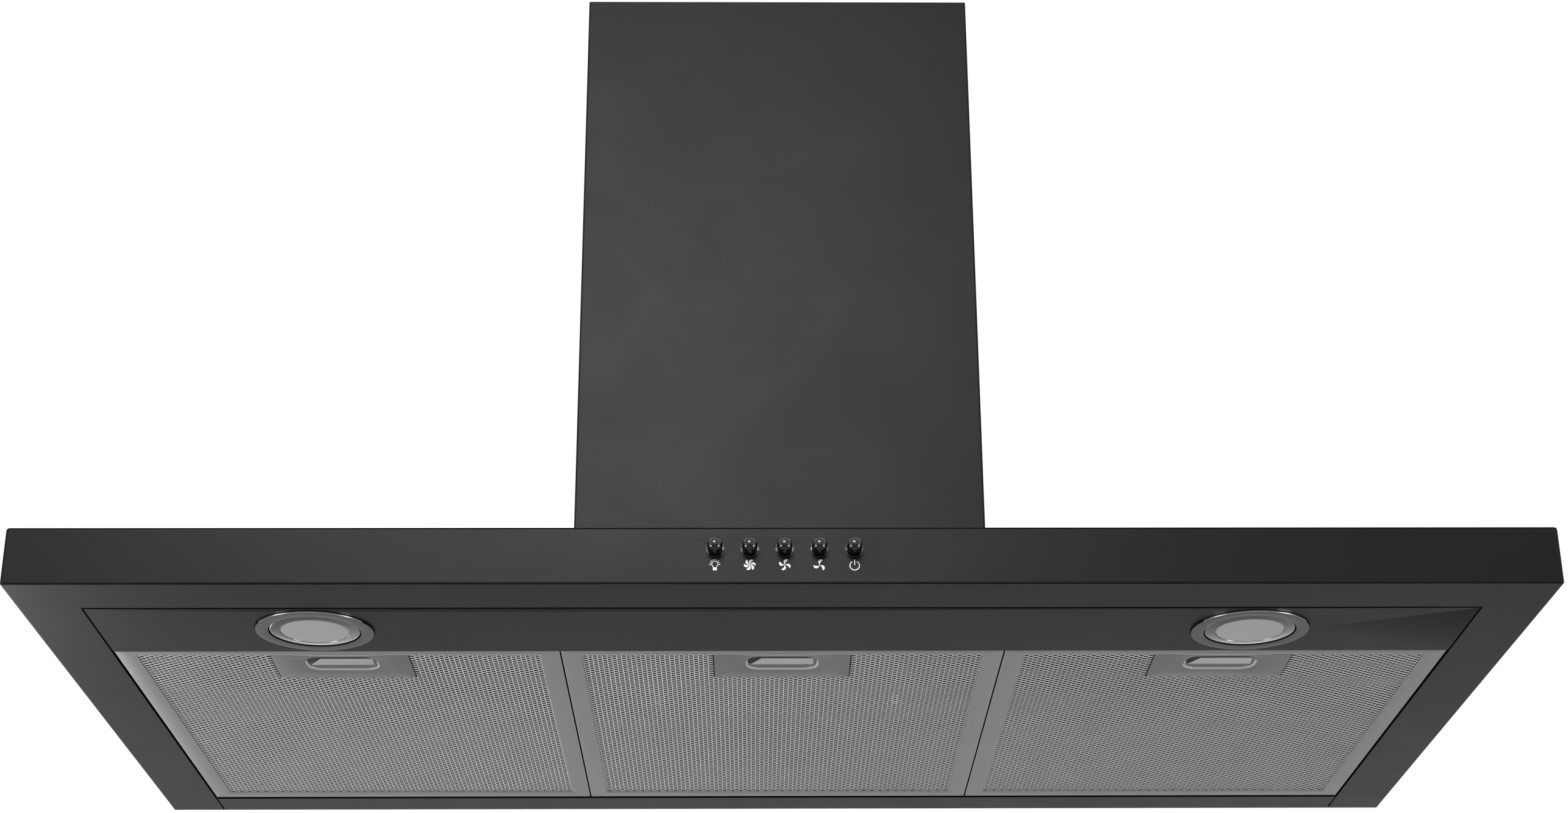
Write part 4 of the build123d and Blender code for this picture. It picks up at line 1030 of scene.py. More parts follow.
class HOOD_OT_lamps(HoodPiece, bpy.types.Operator):
    """Turns both lamps: bezel, trim ring, glass and can, with their spring clips"""

    bl_idname = "hood.lamps"
    bl_label = "Lamps"

    # material indices of the finishes that bezel and trim ring have besides their own: a polished finish,
    # painted as a highlight on the bezel's near side, and black painted as shade
    POLISHED, SEAL = 1, 2

    def mark_bezel(self, mesh, centre):
        """Paints a highlight with the polished finish on the near side of the bezel's rounded rim, and paints
        shade in black on its foot ring, on the far side of its rim and in its bore.
        """
        bore, rim, polish = 27.75 * MM, 35.3 * MM, 35.4 * MM
        for polygon in mesh.polygons:
            reach = math.hypot(polygon.center.x - centre[0], polygon.center.y - centre[1])
            near = centre[1] - polygon.center.y > 0.5 * reach
            if reach < bore or (reach > rim and (polygon.center.z > -0.3 * MM or not near)):
                polygon.material_index = self.SEAL
            elif reach > polish:
                polygon.material_index = self.POLISHED

    def mark_ring(self, mesh, centre):
        """Marks the far side of a trim ring, which its finish paints lighter as highlight and the near side
        darker as shade, and polishes its outer rim.
        """
        rim_start, rim_end = 26.6 * MM, 27.2 * MM
        far = mesh.attributes.new("far", "FLOAT", "POINT")
        for vert in mesh.vertices:
            x, y = vert.co.x - centre[0], vert.co.y - centre[1]
            share = 0.5 + 0.5 * (y * 0.9 + x * 0.35) / max(math.hypot(x, y), MM)
            far.data[vert.index].value = share**1.5
        for polygon in mesh.polygons:
            reach = math.hypot(polygon.center.x - centre[0], polygon.center.y - centre[1])
            if rim_start < reach < rim_end:
                polygon.material_index = self.POLISHED

    def profiles(self, face, top):
        """The profiles of bezel, trim ring and glass, in millimetres, and whether they are closed."""
        edge, rim, pane = 0.25, face + 0.4, face + 0.2
        bezel = [(27.6, 1.3), (27.6, face + 0.2)]
        bezel += curve_points((27.8, face + 0.2), 0.2, 180, 270, 4)
        bezel += curve_points((35.6 - edge, face + edge), edge, 270, 355, 6)
        # the slim ring at the bezel's foot, out to 35.95 mm, is there to carry painted shade
        bezel += [(35.64, -0.28), (35.95, -0.26), (35.95, 0.0), (31.0, 0.0), (31.0, top), (29.8, top)]
        bezel += [(29.8, 1.3)]
        reflector = [(29.6, 1.3), (27.1, 1.3), (27.1, rim + 0.5)]
        reflector += curve_points((26.6, rim + 0.5), 0.5, 0, -82, 7)
        reflector += [(25.4, rim - 0.12), (23.6, rim - 0.22), (22.2, face + 0.08)]
        reflector += curve_points((20.95, face + 0.25), 0.25, -95, -180, 4)
        reflector += [(20.7, face + 3.2), (19.9, face + 3.2), (19.9, face + 4.0), (21.5, face + 4.0)]
        reflector += [(21.5, face + 0.8), (26.3, rim + 0.8), (26.3, 2.1), (29.6, 2.1)]
        glass = [(0.0, pane - 0.1), (12.0, pane - 0.06), (20.1, pane)]
        glass += curve_points((20.1, pane + 0.4), 0.4, -80, 0, 5) + [(20.5, pane + 3.0), (0.0, pane + 3.0)]
        return ("bezel", bezel, True), ("reflector", reflector, True), ("glass", glass, False)

    def make(self, sizes):
        marks = {"bezel": self.mark_bezel, "reflector": self.mark_ring}
        for side in SIDES:
            low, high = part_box(f"lamp_bezel_{side}")
            centre = ((low.x + high.x) / 2, (low.y + high.y) / 2, 0)
            for name, profile, closed in self.profiles(low.z / MM, high.z / MM):
                bm = bmesh.new()
                turned(bm, scaled(profile), centre, "Z", sizes.round_steps, closed)
                mesh = to_mesh(bm, f"lamp_{side}_{name}")
                if name in marks:
                    marks[name](mesh, centre)
                piece = stand_for(f"lamp_{side}_{name}", mesh, f"lamp_{name}_{side}")
                if name in marks:
                    # the polished finish painted as a highlight, and black painted as shade
                    also(piece, "polish_and_painted_highlight", "lamp_painted_shade")
            smooth_copy(f"lamp_can_{side}")
        smooth_copy("lamp_clips")


class HOOD_OT_filters(HoodPiece, bpy.types.Operator):
    """Makes the three grease filters: mitred rails and two layers of expanded aluminium each"""

    bl_idname = "hood.filters"
    bl_label = "Grease filters"

    def rail(self, bm, grain, profile, ends, place):
        """One mitred rail. ends gives its start and end for a depth into the frame."""
        start, end = (
            ring(bm, [place(ends(depth)[which], depth, z) for depth, z in profile]) for which in (0, 1)
        )
        travel = [0.0]
        for first, second in zip(profile, profile[1:] + profile[:1]):
            travel.append(travel[-1] + math.dist(first, second))
        for index in range(len(profile)):
            after = (index + 1) % len(profile)
            face = bm.faces.new((start[index], start[after], end[after], end[index]))
            own, other = ends(profile[index][0]), ends(profile[after][0])
            here, there = travel[index], travel[index + 1]
            spots = ((own[0], here), (other[0], there), (other[1], there), (own[1], here))
            for loop, spot in zip(face.loops, spots):
                loop[grain].uv = spot
        bm.faces.new(list(reversed(start)))
        bm.faces.new(end)

    def frame_mesh(self, name, node, sizes):
        """The four mitred rails of a filter, with the tabs at its rear and the slot for its tongue."""
        low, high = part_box(node)
        left, right, front, rear = low.x, high.x, low.y, high.y - TAB_REACH
        bottom, top, metal = low.z, high.z, 0.8 * MM
        latch_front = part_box(node.replace("filter_frame", "latch_plate"))[0].y
        side_rail, front_rail, gap = 12 * MM, latch_front - front, sizes.mitre_gap
        soft = sizes.rail_rounding
        bm = bmesh.new()
        grain = bm.loops.layers.uv.new("grain")

        def profile(width, rounding):
            """A rail's section as (depth into the frame, z), open on its inner side."""
            lip = 0.25 * MM
            points = [(width, bottom + metal)] + curve_points((width - lip, bottom + lip), lip, 0, -90, 3)
            points += curve_points((rounding, bottom + rounding), rounding, 270, 180, 5)
            points += curve_points((soft, top - soft), soft, 180, 90, 4)
            points += curve_points((width - lip, top - lip), lip, 90, 0, 3)
            points += [(width, top - metal), (metal, top - metal), (metal, bottom + metal)]
            return points

        for width, rounding, place in (
            (front_rail, soft, lambda s, d, z: (s, front + d, z)),
            (side_rail, 1.0 * MM, lambda s, d, z: (s, rear - d, z)),
        ):
            self.rail(
                bm, grain, profile(width, rounding),
                lambda d, w=width: (left + side_rail * d / w + gap, right - side_rail * d / w - gap), place,
            )
        for place in (lambda s, d, z: (left + d, s, z), lambda s, d, z: (right - d, s, z)):
            self.rail(
                bm, grain, profile(side_rail, soft),
                lambda d: (front + front_rail * d / side_rail + gap, rear - d - gap), place,
            )
        middle, aside, tab_half = (left + right) / 2, 85 * MM, 11 * MM
        tab_low, tab_high = bottom + 3.3 * MM, bottom + 4.1 * MM
        for side in (-1, 1):
            x = middle + side * aside
            corners = (x - tab_half, rear - metal, tab_low), (x + tab_half, high.y, tab_high)
            rounded_block(bm, *corners, corner=1.2 * MM, edge=0.15 * MM)
        return cut_out(to_mesh(bm, name), [tongue_slot(middle, front, front + 2 * MM, low.z)])

    def cell(self, sizes, shown):
        """One knot of the net with half of each strand that leaves it. The shown layer has a raised flat."""
        across, deep = sizes.net_pitch_across / 2, sizes.net_pitch_deep / 2
        end, side = across - sizes.net_gap_across / 2, deep - sizes.net_gap_deep / 2
        metal, twist = sizes.net_metal, sizes.net_twist
        outline, signs = [], ((1, 1), (-1, 1), (-1, -1), (1, -1))
        for sign_x, sign_y in signs:
            near = (sign_x * end, sign_y * (deep - side), -sign_y * twist)
            far = (sign_x * (across - end), sign_y * side, sign_y * twist)
            outline += [near, far] if sign_x == sign_y else [far, near]
        bm = bmesh.new()
        flat_of = bm.verts.layers.float.new("flat")
        under = ring(bm, [(x, y, z - metal / 2) for x, y, z in outline])
        over = ring(bm, [(x, y, z + metal / 2) for x, y, z in outline])
        for index in (1, 3, 5, 7):
            after = (index + 1) % 8
            bm.faces.new((under[index], under[after], over[after], over[index]))
        bm.faces.new(over)
        if shown:
            flat_x, flat_y, drop = end * 0.72, side * 0.42, metal / 2 + sizes.net_relief
            flat = ring(bm, [(a * flat_x, b * flat_y, -drop) for a, b in signs])
            for vert in flat:
                vert[flat_of] = 1.0
            for index in range(4):
                start, after = 2 * index, (2 * index + 2) % 8
                bm.faces.new((under[start], under[start + 1], flat[index]))
                bm.faces.new((under[start + 1], under[after], flat[(index + 1) % 4], flat[index]))
            bm.faces.new(list(reversed(flat)))
        else:
            bm.faces.new(list(reversed(under)))
        mesh = bpy.data.meshes.new("net cell")
        bm.to_mesh(mesh)
        bm.free()
        return linked("net cell", mesh)

    def closed(self, mesh):
        """Closes the strands that were cut at the net's border, and faces the metal outwards."""
        bm = bmesh.new()
        bm.from_mesh(mesh)
        bmesh.ops.holes_fill(bm, edges=[edge for edge in bm.edges if edge.is_boundary], sides=4)
        bmesh.ops.recalc_face_normals(bm, faces=bm.faces)
        bm.to_mesh(mesh)
        bm.free()
        return mesh

    def make(self, sizes):
        tree = net_tree()
        # each layer: its cell, its finish, its shift in gaps, and half the width it leaves for the latch
        layers = {
            "net": (self.cell(sizes, True), "net_aluminium", 0.0, 43.3 * MM),
            "back_net": (self.cell(sizes, False), "inner_net_aluminium", 0.3, 0.0),
        }
        for place in PLACES:
            node = f"filter_frame_{place}"
            low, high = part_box(node)
            stand_for(f"filter_{place}_rails", self.frame_mesh(f"filter_{place}_rails", node, sizes), node)
            middle, depth = (low.x + high.x) / 2, (low.y + high.y - TAB_REACH) / 2
            for layer, (cell, surface, shift, latch_half) in layers.items():
                net_low, net_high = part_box(f"filter_{layer}_{place}")
                name = f"filter_{place}_{layer}"
                values = {
                    "Cell": cell,
                    "Columns": NET_COLUMNS,
                    "Rows": NET_ROWS,
                    "Pitch across": sizes.net_pitch_across,
                    "Pitch deep": sizes.net_pitch_deep,
                    "Centre": (middle, depth + shift * sizes.net_pitch_deep, (net_low.z + net_high.z) / 2),
                    "Latch half width": latch_half,
                    "Latch rear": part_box(f"latch_plate_{place}")[1].y + 0.8 * MM,
                    "Finish": finish(surface),
                }
                mesh = self.closed(grown(name, tree, values))
                stand_for(name, mesh, f"filter_{layer}_{place}", surface)
        for layer in layers.values():
            bpy.data.objects.remove(layer[0])


class HOOD_OT_latches(HoodPiece, bpy.types.Operator):
    """Makes the handle plates, their sliders and springs"""

    bl_idname = "hood.latches"
    bl_label = "Filter latches"

    def plate(self, place, sizes):
        """The handle plate: a hollow plate with a finger slot, whose rear bevel has a lighter finish as a
        painted highlight.
        """
        low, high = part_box(f"latch_plate_{place}")
        middle, slot_front = (low.x + high.x) / 2, low.y + 4.5 * MM
        slot_half, slot_depth, slot_corner = 21.5 * MM, 24 * MM, 8 * MM
        bevel, wall, edge, rear_corner, front_corner = sizes.slot_bevel, 1.0 * MM, 0.4 * MM, 3 * MM, 0.5 * MM

        def body(inset, z):
            """The plate's outline: nearly square corners in front, rounded ones behind."""
            front = low.y + inset
            points = rounded_outline(
                low.x + inset, high.x - inset, front, high.y - inset, rear_corner - inset, z, 6
            )
            count = len(points) // 4
            for number, point in enumerate(points):
                if count <= number < 3 * count or point.y <= front + 0.05 * MM:
                    continue
                x = high.x - inset if number < count else low.x + inset
                drawn_in = max(0.0, front_corner - abs(point.y - low.y - inset) * front_corner / rear_corner)
                point.x = x - math.copysign(drawn_in, x - middle)
            return points

        def slot(grow, z):
            return rounded_outline(
                middle - slot_half - grow, middle + slot_half + grow, slot_front - grow,
                slot_front + slot_depth + grow, slot_corner + grow, z, 6,
            )

        ledge = low.z + wall + bevel
        outlines = [slot(0.0, ledge)]
        for step in range(5):
            angle = math.radians(90 * step / 4)
            outlines.append(slot(bevel * (1 - math.cos(angle)), low.z + bevel * (1 - math.sin(angle)) * 0.9))
        outlines += [body(edge, low.z), body(edge * 0.3, low.z + edge * 0.3), body(0.0, low.z + edge)]
        outlines += [body(0.0, high.z - edge), body(edge, high.z)]
        bm = bmesh.new()
        rings = [ring(bm, points) for points in outlines]
        # the slot's bevel behind its front corners gets the lighter grey of a painted highlight
        for number, (lower, upper) in enumerate(zip(rings, rings[1:])):
            for face in bridge(bm, lower, upper):
                behind = face.calc_center_median().y > slot_front + slot_corner
                face.material_index = int(number < 5 and behind)
        bm.faces.new(rings[-1])
        inner = [rings[0], ring(bm, body(wall, ledge)), ring(bm, body(wall, high.z - wall))]
        for lower, upper in zip(inner, inner[1:]):
            bridge(bm, lower, upper)
        bm.faces.new(list(reversed(inner[-1])))
        loft(bm, self.crescent(middle, low))
        name = f"latch_{place}_plate"
        mesh = cut_out(to_mesh(bm, name), [tongue_slot(middle, low.y, low.y + 0.9 * MM, low.z)])
        # the crescent below the plate's face gets the painted highlight too
        for face in mesh.polygons:
            if face.center.z < low.z - 0.01 * MM:
                face.material_index = 1
        also(stand_for(name, mesh, f"latch_plate_{place}"), "latch_painted_highlight")

    def crescent(self, middle, low, steps=24):
        """The outlines of the slim crescent in the middle of the plate's front edge."""
        outlines, y = [], low.y - 0.1 * MM
        for step in range(steps + 1):
            share = -1 + 2 * step / steps
            bulge = (1 - share * share) ** 0.8
            width, drop = 1.2 * MM * bulge + 0.02 * MM, 0.47 * MM * bulge + 0.01 * MM
            slope, root, crown = -drop * 0.75, 0.02 * MM, 0.3 * MM
            section = ((-0.5, root), (-0.3, slope), (0.0, -drop), (0.3, slope), (0.5, root), (0.0, crown))
            x = middle + share * 30 * MM
            outlines.append([Vector((x, y + width * across, low.z + z)) for across, z in section])
        return outlines

    def slider(self, place):
        """The slider: a plate with a ramp that rises to its finger ridge, and a tongue in front."""
        low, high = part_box(f"latch_slider_{place}")
        middle, body_front, base = (low.x + high.x) / 2, low.y + 14.6 * MM, low.z + 0.9 * MM
        ridge, ramp, round_off = body_front + 14 * MM, body_front + 4.9 * MM, 0.3 * MM
        section = [
            (body_front, base + round_off),
            (body_front + round_off, base + 0.1 * MM),
            (body_front + 3.6 * MM, base + 0.1 * MM),
            (ramp, base + 0.02 * MM),
            (ridge - 0.5 * MM, low.z + 0.04 * MM),
            (ridge - 0.15 * MM, low.z),
            (ridge, low.z + 0.15 * MM),
            (ridge + 0.1 * MM, base - 0.1 * MM),
            (ridge + 0.4 * MM, base),
            (high.y - round_off, base),
            (high.y, base + round_off),
            (high.y, high.z - round_off),
            (high.y - round_off, high.z),
            (body_front + round_off, high.z),
            (body_front, high.z - round_off),
        ]
        half, ridge_half, flank, pocket = 26 * MM, 19.5 * MM, 1.2 * MM, 6.5 * MM
        ridge_end = ridge_half + flank
        bm = bmesh.new()
        outlines = []
        for x in (-half, -ridge_end, -ridge_half, pocket - ridge_half, ridge_half, ridge_end, half):
            flat = abs(x) > ridge_half + 0.5 * MM
            outlines.append([Vector((middle + x, y, max(z, base) if flat else z)) for y, z in section])
        loft(bm, outlines)
        # the corner of the finger hollow, where a shadow is painted, is a triangle of the ramp
        corner = []
        for face in bm.faces:
            spot = face.calc_center_median()
            beside = -ridge_half < spot.x - middle < pocket - ridge_half
            if beside and body_front + 5 * MM < spot.y < ridge - 0.6 * MM and spot.z < base:
                corner.append(face)
        bmesh.ops.triangulate(bm, faces=corner, quad_method="ALTERNATE")
        tongue_half, tongue_rear = 6 * MM, body_front + 1 * MM
        rounded_block(
            bm, (middle - tongue_half, low.y, high.z - 1.6 * MM), (middle + tongue_half, tongue_rear, high.z),
            0.8 * MM, 0.3 * MM,
        )
        name = f"latch_{place}_slider"
        mesh = to_mesh(bm, name)
        for face in mesh.polygons:
            x, y = face.center.x - middle, face.center.y
            shaded = x < -ridge_half or (len(face.vertices) == 3 and x < pocket * 0.4 - ridge_half)
            # painted shadow: the front strip, the left pocket and its corner get the dark grey
            if y < ramp or (shaded and y < ridge):
                face.material_index = 1
            # painted highlight: the ramp gets the lighter grey
            elif abs(x) < ridge_half and y < ridge and face.center.z < base + 0.05 * MM:
                face.material_index = 2
        also(stand_for(name, mesh, f"latch_slider_{place}"), "latch_painted_shadow", "latch_painted_highlight")

    def make(self, sizes):
        for place in PLACES:
            self.plate(place, sizes)
            self.slider(place)
            spring = smooth_copy(f"latch_spring_{place}")
            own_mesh(spring)


class HOOD_OT_flues(HoodPiece, bpy.types.Operator):
    """Makes the lower and upper flue and the bracket of the upper one"""

    bl_idname = "hood.flues"
    bl_label = "Flues"

    def make(self, sizes):
        for node in ("lower_flue", "upper_flue", "flue_bracket"):
            smooth_copy(node)


class HOOD_OT_blower(HoodPiece, bpy.types.Operator):
    """Makes the motor box and the blower in it"""

    bl_idname = "hood.blower"
    bl_label = "Motor box and blower"

    def impeller(self, sizes):
        """The impeller: a band at each end, curved blades between them, and a disc with its hub."""
        low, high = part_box("impeller")
        centre, outer = (low + high) / 2, (high.z - low.z) / 2
        # a blade's section is an arc with its hollow side 1 mm nearer to the arc's centre
        pivot = (outer - 9.5 * MM, -6.5 * MM)
        arc = curve_points(pivot, 8.5 * MM, 20, 95, 6) + curve_points(pivot, 7.5 * MM, 95, 20, 6)
        blade_ends = (low.x + 1 * MM, high.x - 1 * MM)
        sections = [[Vector((x - centre.x, over, out)) for out, over in arc] for x in blade_ends]
        blade = bmesh.new()
        loft(blade, sections)
        helper = linked("impeller blade", to_mesh(blade, "impeller blade"))
        values = {
            "Blade": helper, "Count": sizes.blade_count, "Centre": tuple(centre),
            "Finish": finish("impeller_plastic"),
        }
        blades = grown("impeller blades", blades_tree(), values)
        bpy.data.objects.remove(helper)
        bm = bmesh.new()
        bm.from_mesh(blades)
        band, inner, edge = 3 * MM, outer - 10 * MM, outer - 0.4 * MM
        for start in (low.x, high.x - band):
            profile = [(inner, start), (edge, start), (outer, start + 0.4 * MM), (outer, start + 2.6 * MM)]
            profile += [(edge, start + band), (inner, start + band)]
            turned(bm, profile, (0, centre.y, centre.z), "X", sizes.round_steps, closed=True)
        disc = [(4 * MM, -12 * MM), (9.4 * MM, -12 * MM), (10 * MM, -11.4 * MM), (10 * MM, -2 * MM)]
        disc += [(12 * MM, -1 * MM), (outer, -1 * MM), (outer, 1 * MM), (12 * MM, 1 * MM), (10 * MM, 2 * MM)]
        disc += [(10 * MM, 11.4 * MM), (9.4 * MM, 12 * MM), (4 * MM, 12 * MM)]
        turned(bm, disc, centre, "X", sizes.round_steps, closed=True)
        stand_for("fan_impeller", to_mesh(bm, "fan_impeller"), "impeller")

    def make(self, sizes):
        for node in (
            "motor_box", "fan_scroll", "fan_scroll_cover", "motor_mount", "motor_body", "motor_shaft",
            "capacitor", "terminal_box", "terminal_box_lid", "cable_gland",
        ):
            smooth_copy(node)
        self.impeller(sizes)


class HOOD_OT_outlet(HoodPiece, bpy.types.Operator):
    """Makes the outlet collar, its rod and the two damper flaps"""

    bl_idname = "hood.outlet"
    bl_label = "Outlet and damper"

    def make(self, sizes):
        for node in ("outlet_collar", "flap_rod", "flap_front", "flap_rear"):
            smooth_copy(node)


class HOOD_OT_fixings(HoodPiece, bpy.types.Operator):
    """Puts the screws and nuts at their places"""

    bl_idname = "hood.fixings"
    bl_label = "Screws and nuts"

    def screw(self, name, length):
        """A pan head screw with a cross recess and a thread, standing on its seat."""
        head = [(0.0, 2.4), (1.6, 2.36), (2.7, 2.1), (3.4, 1.6), (3.75, 0.9), (3.8, 0.25), (3.6, 0.0)]
        head += [(1.9, 0.0)]
        depth, thread = -0.4, []
        while depth > -length + 0.7:
            thread += [(1.9, depth), (1.55, depth - 0.3)]
            depth -= 0.6
        tip = [(1.55, -length + 0.35), (1.1, -length), (0.0, -length)]
        bm = bmesh.new()
        turned(bm, scaled(head + thread + tip), (0, 0, 0), "Z", 28)
        arm, width, bottom, top = 1.9 * MM, 0.42 * MM, 1.2 * MM, 3 * MM
        cross = [((-a, -b, bottom), (a, b, top)) for a, b in ((arm, width), (width, arm))]
        return linked(name, cut_out(to_mesh(bm, name), cross))

    def nut(self, name):
        """A hexagon nut with chamfered corners on the end of its threaded stud."""
        profile, depth = [(0.0, 6.0), (1.2, 6.0)], 5.8
        while depth > 3.7:
            profile += [(1.5, depth), (1.25, depth - 0.25)]
            depth -= 0.5
        profile += [(1.5, 3.4), (1.5, 0.0), (0.0, 0.0)]
        bm = bmesh.new()
        turned(bm, scaled(profile), (0, 0, 0), "Z", 24)
        outlines, corner, chamfer = [], 3.2, 2.95
        for z, cut in ((1.0, True), (1.2, False), (3.3, False), (3.5, True)):
            outline = []
            for step in range(24):
                angle = 2 * math.pi * step / 24
                flat = math.cos(math.pi / 6) / math.cos((angle + math.pi / 6) % (math.pi / 3) - math.pi / 6)
                reach = min(corner * flat, chamfer) if cut else corner * flat
                outline.append(Vector((reach * math.cos(angle), reach * math.sin(angle), z)) * MM)
            outlines.append(outline)
        loft(bm, outlines)
        return linked(name, to_mesh(bm, name))

    def spread(self, name, node, seat, fixing, tree):
        """Puts a fixing at each solid of a node. seat gives its (point, way it faces) in a box."""
        places = [seat(*box_of(points)) for points in solids_of(node)]
        mesh = bpy.data.meshes.new("places")
        mesh.from_pydata([tuple(point) for point, facing in places], [], [])
        facing_of = mesh.attributes.new("facing", "FLOAT_VECTOR", "POINT")
        facing_of.data.foreach_set("vector", [c for point, facing in places for c in facing])
        helper = linked("places", mesh)
        made = grown(name, tree, {"Places": helper, "Fixing": fixing, "Finish": finish(SLOT_OF[node])})
        bpy.data.objects.remove(helper)
        shade(made)
        stand_for(name, made, node)

    def make(self, sizes):
        def upright(height):
            """A seat that faces up, at a height in a box."""
            return lambda low, high: (
                ((low.x + high.x) / 2, (low.y + high.y) / 2, height(low, high)), (0, 0, 1)
            )

        def sideways(outward):
            """A seat that faces away from the middle of the hood, or towards it."""
            def seat(low, high):
                way = math.copysign(1, low.x) * outward
                x = (high.x if way > 0 else low.x) - way * SCREW_HEAD
                return (x, (low.y + high.y) / 2, (low.z + high.z) / 2), (way, 0, 0)
            return seat

        tree = fixings_tree()
        screw, short_screw, nut = self.screw("screw", 4.0), self.screw("bracket screw", 2.8), self.nut("nut")
        for name, node, seat, fixing in (
            ("blower_fixings", "blower_screws", upright(lambda low, high: high.z - SCREW_HEAD), screw),
            ("flue_screws_fixings", "flue_screws", sideways(1), screw),
            ("flue_bracket_screws_fixings", "flue_bracket_screws", sideways(-1), short_screw),
            ("base_frame_fixings", "base_frame_nuts", upright(lambda low, high: low.z), nut),
        ):
            self.spread(name, node, seat, fixing, tree)
        for helper in (screw, short_screw, nut):
            bpy.data.objects.remove(helper)


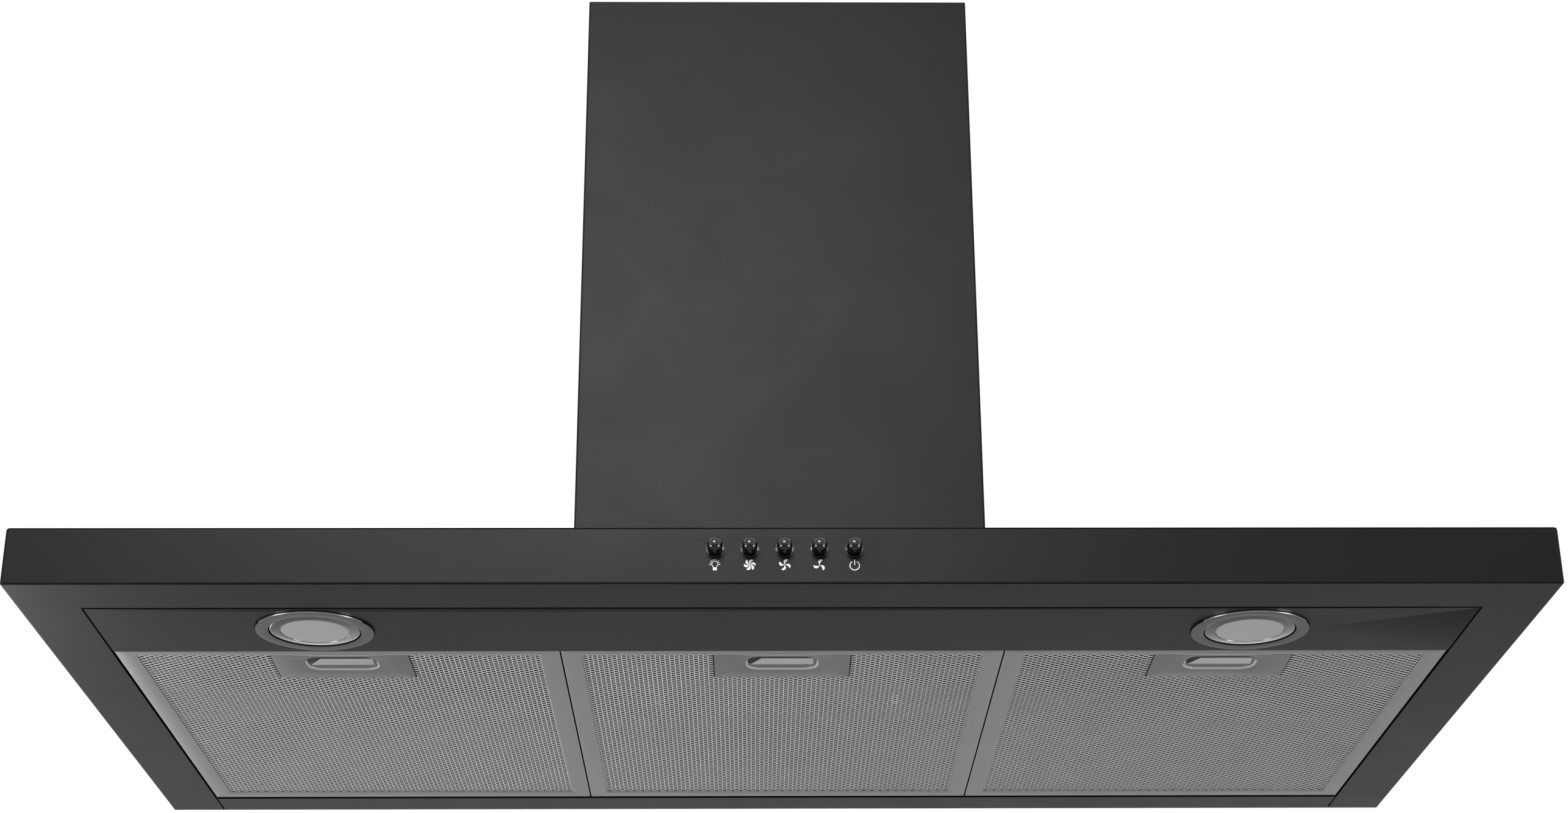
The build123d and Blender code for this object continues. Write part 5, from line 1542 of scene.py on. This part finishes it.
class HOOD_OT_stage(HoodPiece, bpy.types.Operator):
    """Sets the floor, the lights, the white surroundings and the camera"""

    bl_idname = "hood.stage"
    bl_label = "Floor, light and camera"

    def lamp(self, name, place, target, size, power, shine=False):
        """A soft lamp that isn't in view. A shine lamp lights only what is glossy."""
        data = bpy.data.lights.new(name, "AREA")
        data.shape = "RECTANGLE"
        data.size, data.size_y = size
        data.energy = power
        lamp = linked(name, data)
        lamp.location = place
        lamp.rotation_euler = (Vector(target) - Vector(place)).to_track_quat("-Z", "Y").to_euler()
        lamp.visible_camera = False
        lamp.visible_diffuse = not shine

    def floor(self, sizes):
        """A pale floor that fades out far from the hood and isn't seen from below."""
        half, corner, fade_start, fade_end = 14, 3, 8.0, 13.5
        bm = bmesh.new()
        bm.faces.new(ring(bm, rounded_outline(-half, half, -half, half, corner, -sizes.floor_drop)))
        mesh = to_mesh(bm, "floor", recalculate=False)
        material = bpy.data.materials.new("pale_floor")
        material.use_nodes = True
        tree = material.node_tree
        tree.nodes.clear()
        matt = wire(tree, "ShaderNodeBsdfDiffuse", {"Color": (0.66, 0.66, 0.66, 1.0)})
        clear = wire(tree, "ShaderNodeBsdfTransparent")
        place = wire(tree, "ShaderNodeNewGeometry").outputs
        reach = wire(tree, "ShaderNodeVectorMath", {0: place["Position"]}, operation="LENGTH")
        limits = {"Value": reach.outputs["Value"], "From Min": fade_start, "From Max": fade_end}
        far = wire(tree, "ShaderNodeMapRange", limits).outputs[0]
        hidden = math_node(tree, "MAXIMUM", far, place["Backfacing"])
        mixed = wire(tree, "ShaderNodeMixShader", {0: hidden, 1: matt.outputs[0], 2: clear.outputs[0]})
        wire(tree, "ShaderNodeOutputMaterial", {"Surface": mixed.outputs[0]})
        mesh.materials.append(material)
        linked("floor", mesh)

    def surroundings(self):
        """A world that looks white to the camera and in what shines, and lights at half that."""
        world = bpy.data.worlds.new("white surroundings")
        bpy.context.scene.world = world
        world.use_nodes = True
        tree = world.node_tree
        tree.nodes.clear()
        rays = wire(tree, "ShaderNodeLightPath").outputs
        seen = math_node(tree, "MAXIMUM", rays["Is Camera Ray"], rays["Is Glossy Ray"])
        seen = math_node(tree, "MAXIMUM", seen, rays["Is Transmission Ray"])
        plain, white = (
            wire(tree, "ShaderNodeBackground", {"Color": (1, 1, 1, 1), "Strength": strength}).outputs[0]
            for strength in (0.5, 1.0)
        )
        mixed = wire(tree, "ShaderNodeMixShader", {0: seen, 1: plain, 2: white})
        wire(tree, "ShaderNodeOutputWorld", {"Surface": mixed.outputs[0]})

    def camera(self):
        """The camera that was fitted to the canopy's corners, rails, filters and chimney."""
        place = Vector((-18.61, -1908.33, -509.92)) * MM
        pitch, yaw, roll = (math.radians(angle) for angle in (23.718, 0.7564, -0.3082))
        # focal length and frame width in pixels, and the sensor's width in millimetres
        focal, frame_width, sensor = 4287.32, 2576, 36.0
        ahead = Vector((math.sin(yaw) * math.cos(pitch), math.cos(yaw) * math.cos(pitch), math.sin(pitch)))
        right = Vector((math.cos(yaw), -math.sin(yaw), 0))
        up = right.cross(ahead)
        turned_right = right * math.cos(roll) + up * math.sin(roll)
        turned_up = up * math.cos(roll) - right * math.sin(roll)
        data = bpy.data.cameras.new("camera")
        data.sensor_width = sensor
        data.lens = focal / frame_width * sensor
        data.clip_start, data.clip_end = 0.05, 60
        camera = linked("camera", data)
        turn = Matrix((turned_right, turned_up, -ahead)).transposed().to_4x4()
        camera.matrix_world = Matrix.Translation(place) @ turn
        bpy.context.scene.camera = camera

    def make(self, sizes):
        self.floor(sizes)
        self.surroundings()
        self.camera()
        # each lamp: its place, what it points at, its size in metres and its power in watts
        for name, place, target, size, power in (
            ("softbox above", (-0.35, -2.5, 1.35), (0, -0.3, 0.2), (1.3, 0.9), 43),
            ("softbox ahead", (-0.2, -2.6, 0.75), (0, -0.4, 0.0), (0.9, 0.3), 8),
            ("softbox behind", (-1.6, 1.8, -0.9), (0, -0.3, 0), (0.9, 0.5), 6),
            ("softbox left", (-2.2, -1.2, -0.5), (0, -0.5, 0.02), (0.5, 0.6), 4),
            ("softbox right", (2.2, -1.2, -0.5), (0, -0.5, 0.02), (0.5, 0.6), 4),
        ):
            self.lamp(name, place, target, size, power)
        for side in (-1, 1):
            self.lamp(f"shine {side}", (side * 2.3, -1.4, -1.05), (0, -0.5, 0.02), (1.1, 0.9), 28, shine=True)
        bpy.context.scene.view_settings.view_transform = "Standard"


class HOOD_PT_panel(bpy.types.Panel):
    """Lists the hood's pieces and sizes"""

    bl_label = "Range hood"
    bl_idname = "HOOD_PT_panel"
    bl_space_type = "VIEW_3D"
    bl_region_type = "UI"
    bl_category = "Hood"

    def draw(self, context):
        layout = self.layout
        for group in (context.scene.hood_sizes, context.scene.hood_colours):
            for name in group.__annotations__:
                layout.prop(group, name)
        for operator in OPERATORS:
            layout.operator(operator.bl_idname)


OPERATORS = (
    HOOD_OT_stage,
    HOOD_OT_canopy,
    HOOD_OT_symbols,
    HOOD_OT_buttons,
    HOOD_OT_lamps,
    HOOD_OT_filters,
    HOOD_OT_latches,
    HOOD_OT_flues,
    HOOD_OT_blower,
    HOOD_OT_outlet,
    HOOD_OT_fixings,
)


def register():
    for kind in (HoodSizes, HoodColours, *OPERATORS, HOOD_PT_panel):
        bpy.utils.register_class(kind)
    bpy.types.Scene.hood_sizes = PointerProperty(type=HoodSizes)
    bpy.types.Scene.hood_colours = PointerProperty(type=HoodColours)


def unregister():
    del bpy.types.Scene.hood_colours
    del bpy.types.Scene.hood_sizes
    for kind in reversed((HoodSizes, HoodColours, *OPERATORS, HOOD_PT_panel)):
        bpy.utils.unregister_class(kind)


def main():
    """Makes every piece in order."""
    register()
    for operator in OPERATORS:
        group, name = operator.bl_idname.split(".")
        getattr(getattr(bpy.ops, group), name)()


if __name__ == "__main__":
    main()
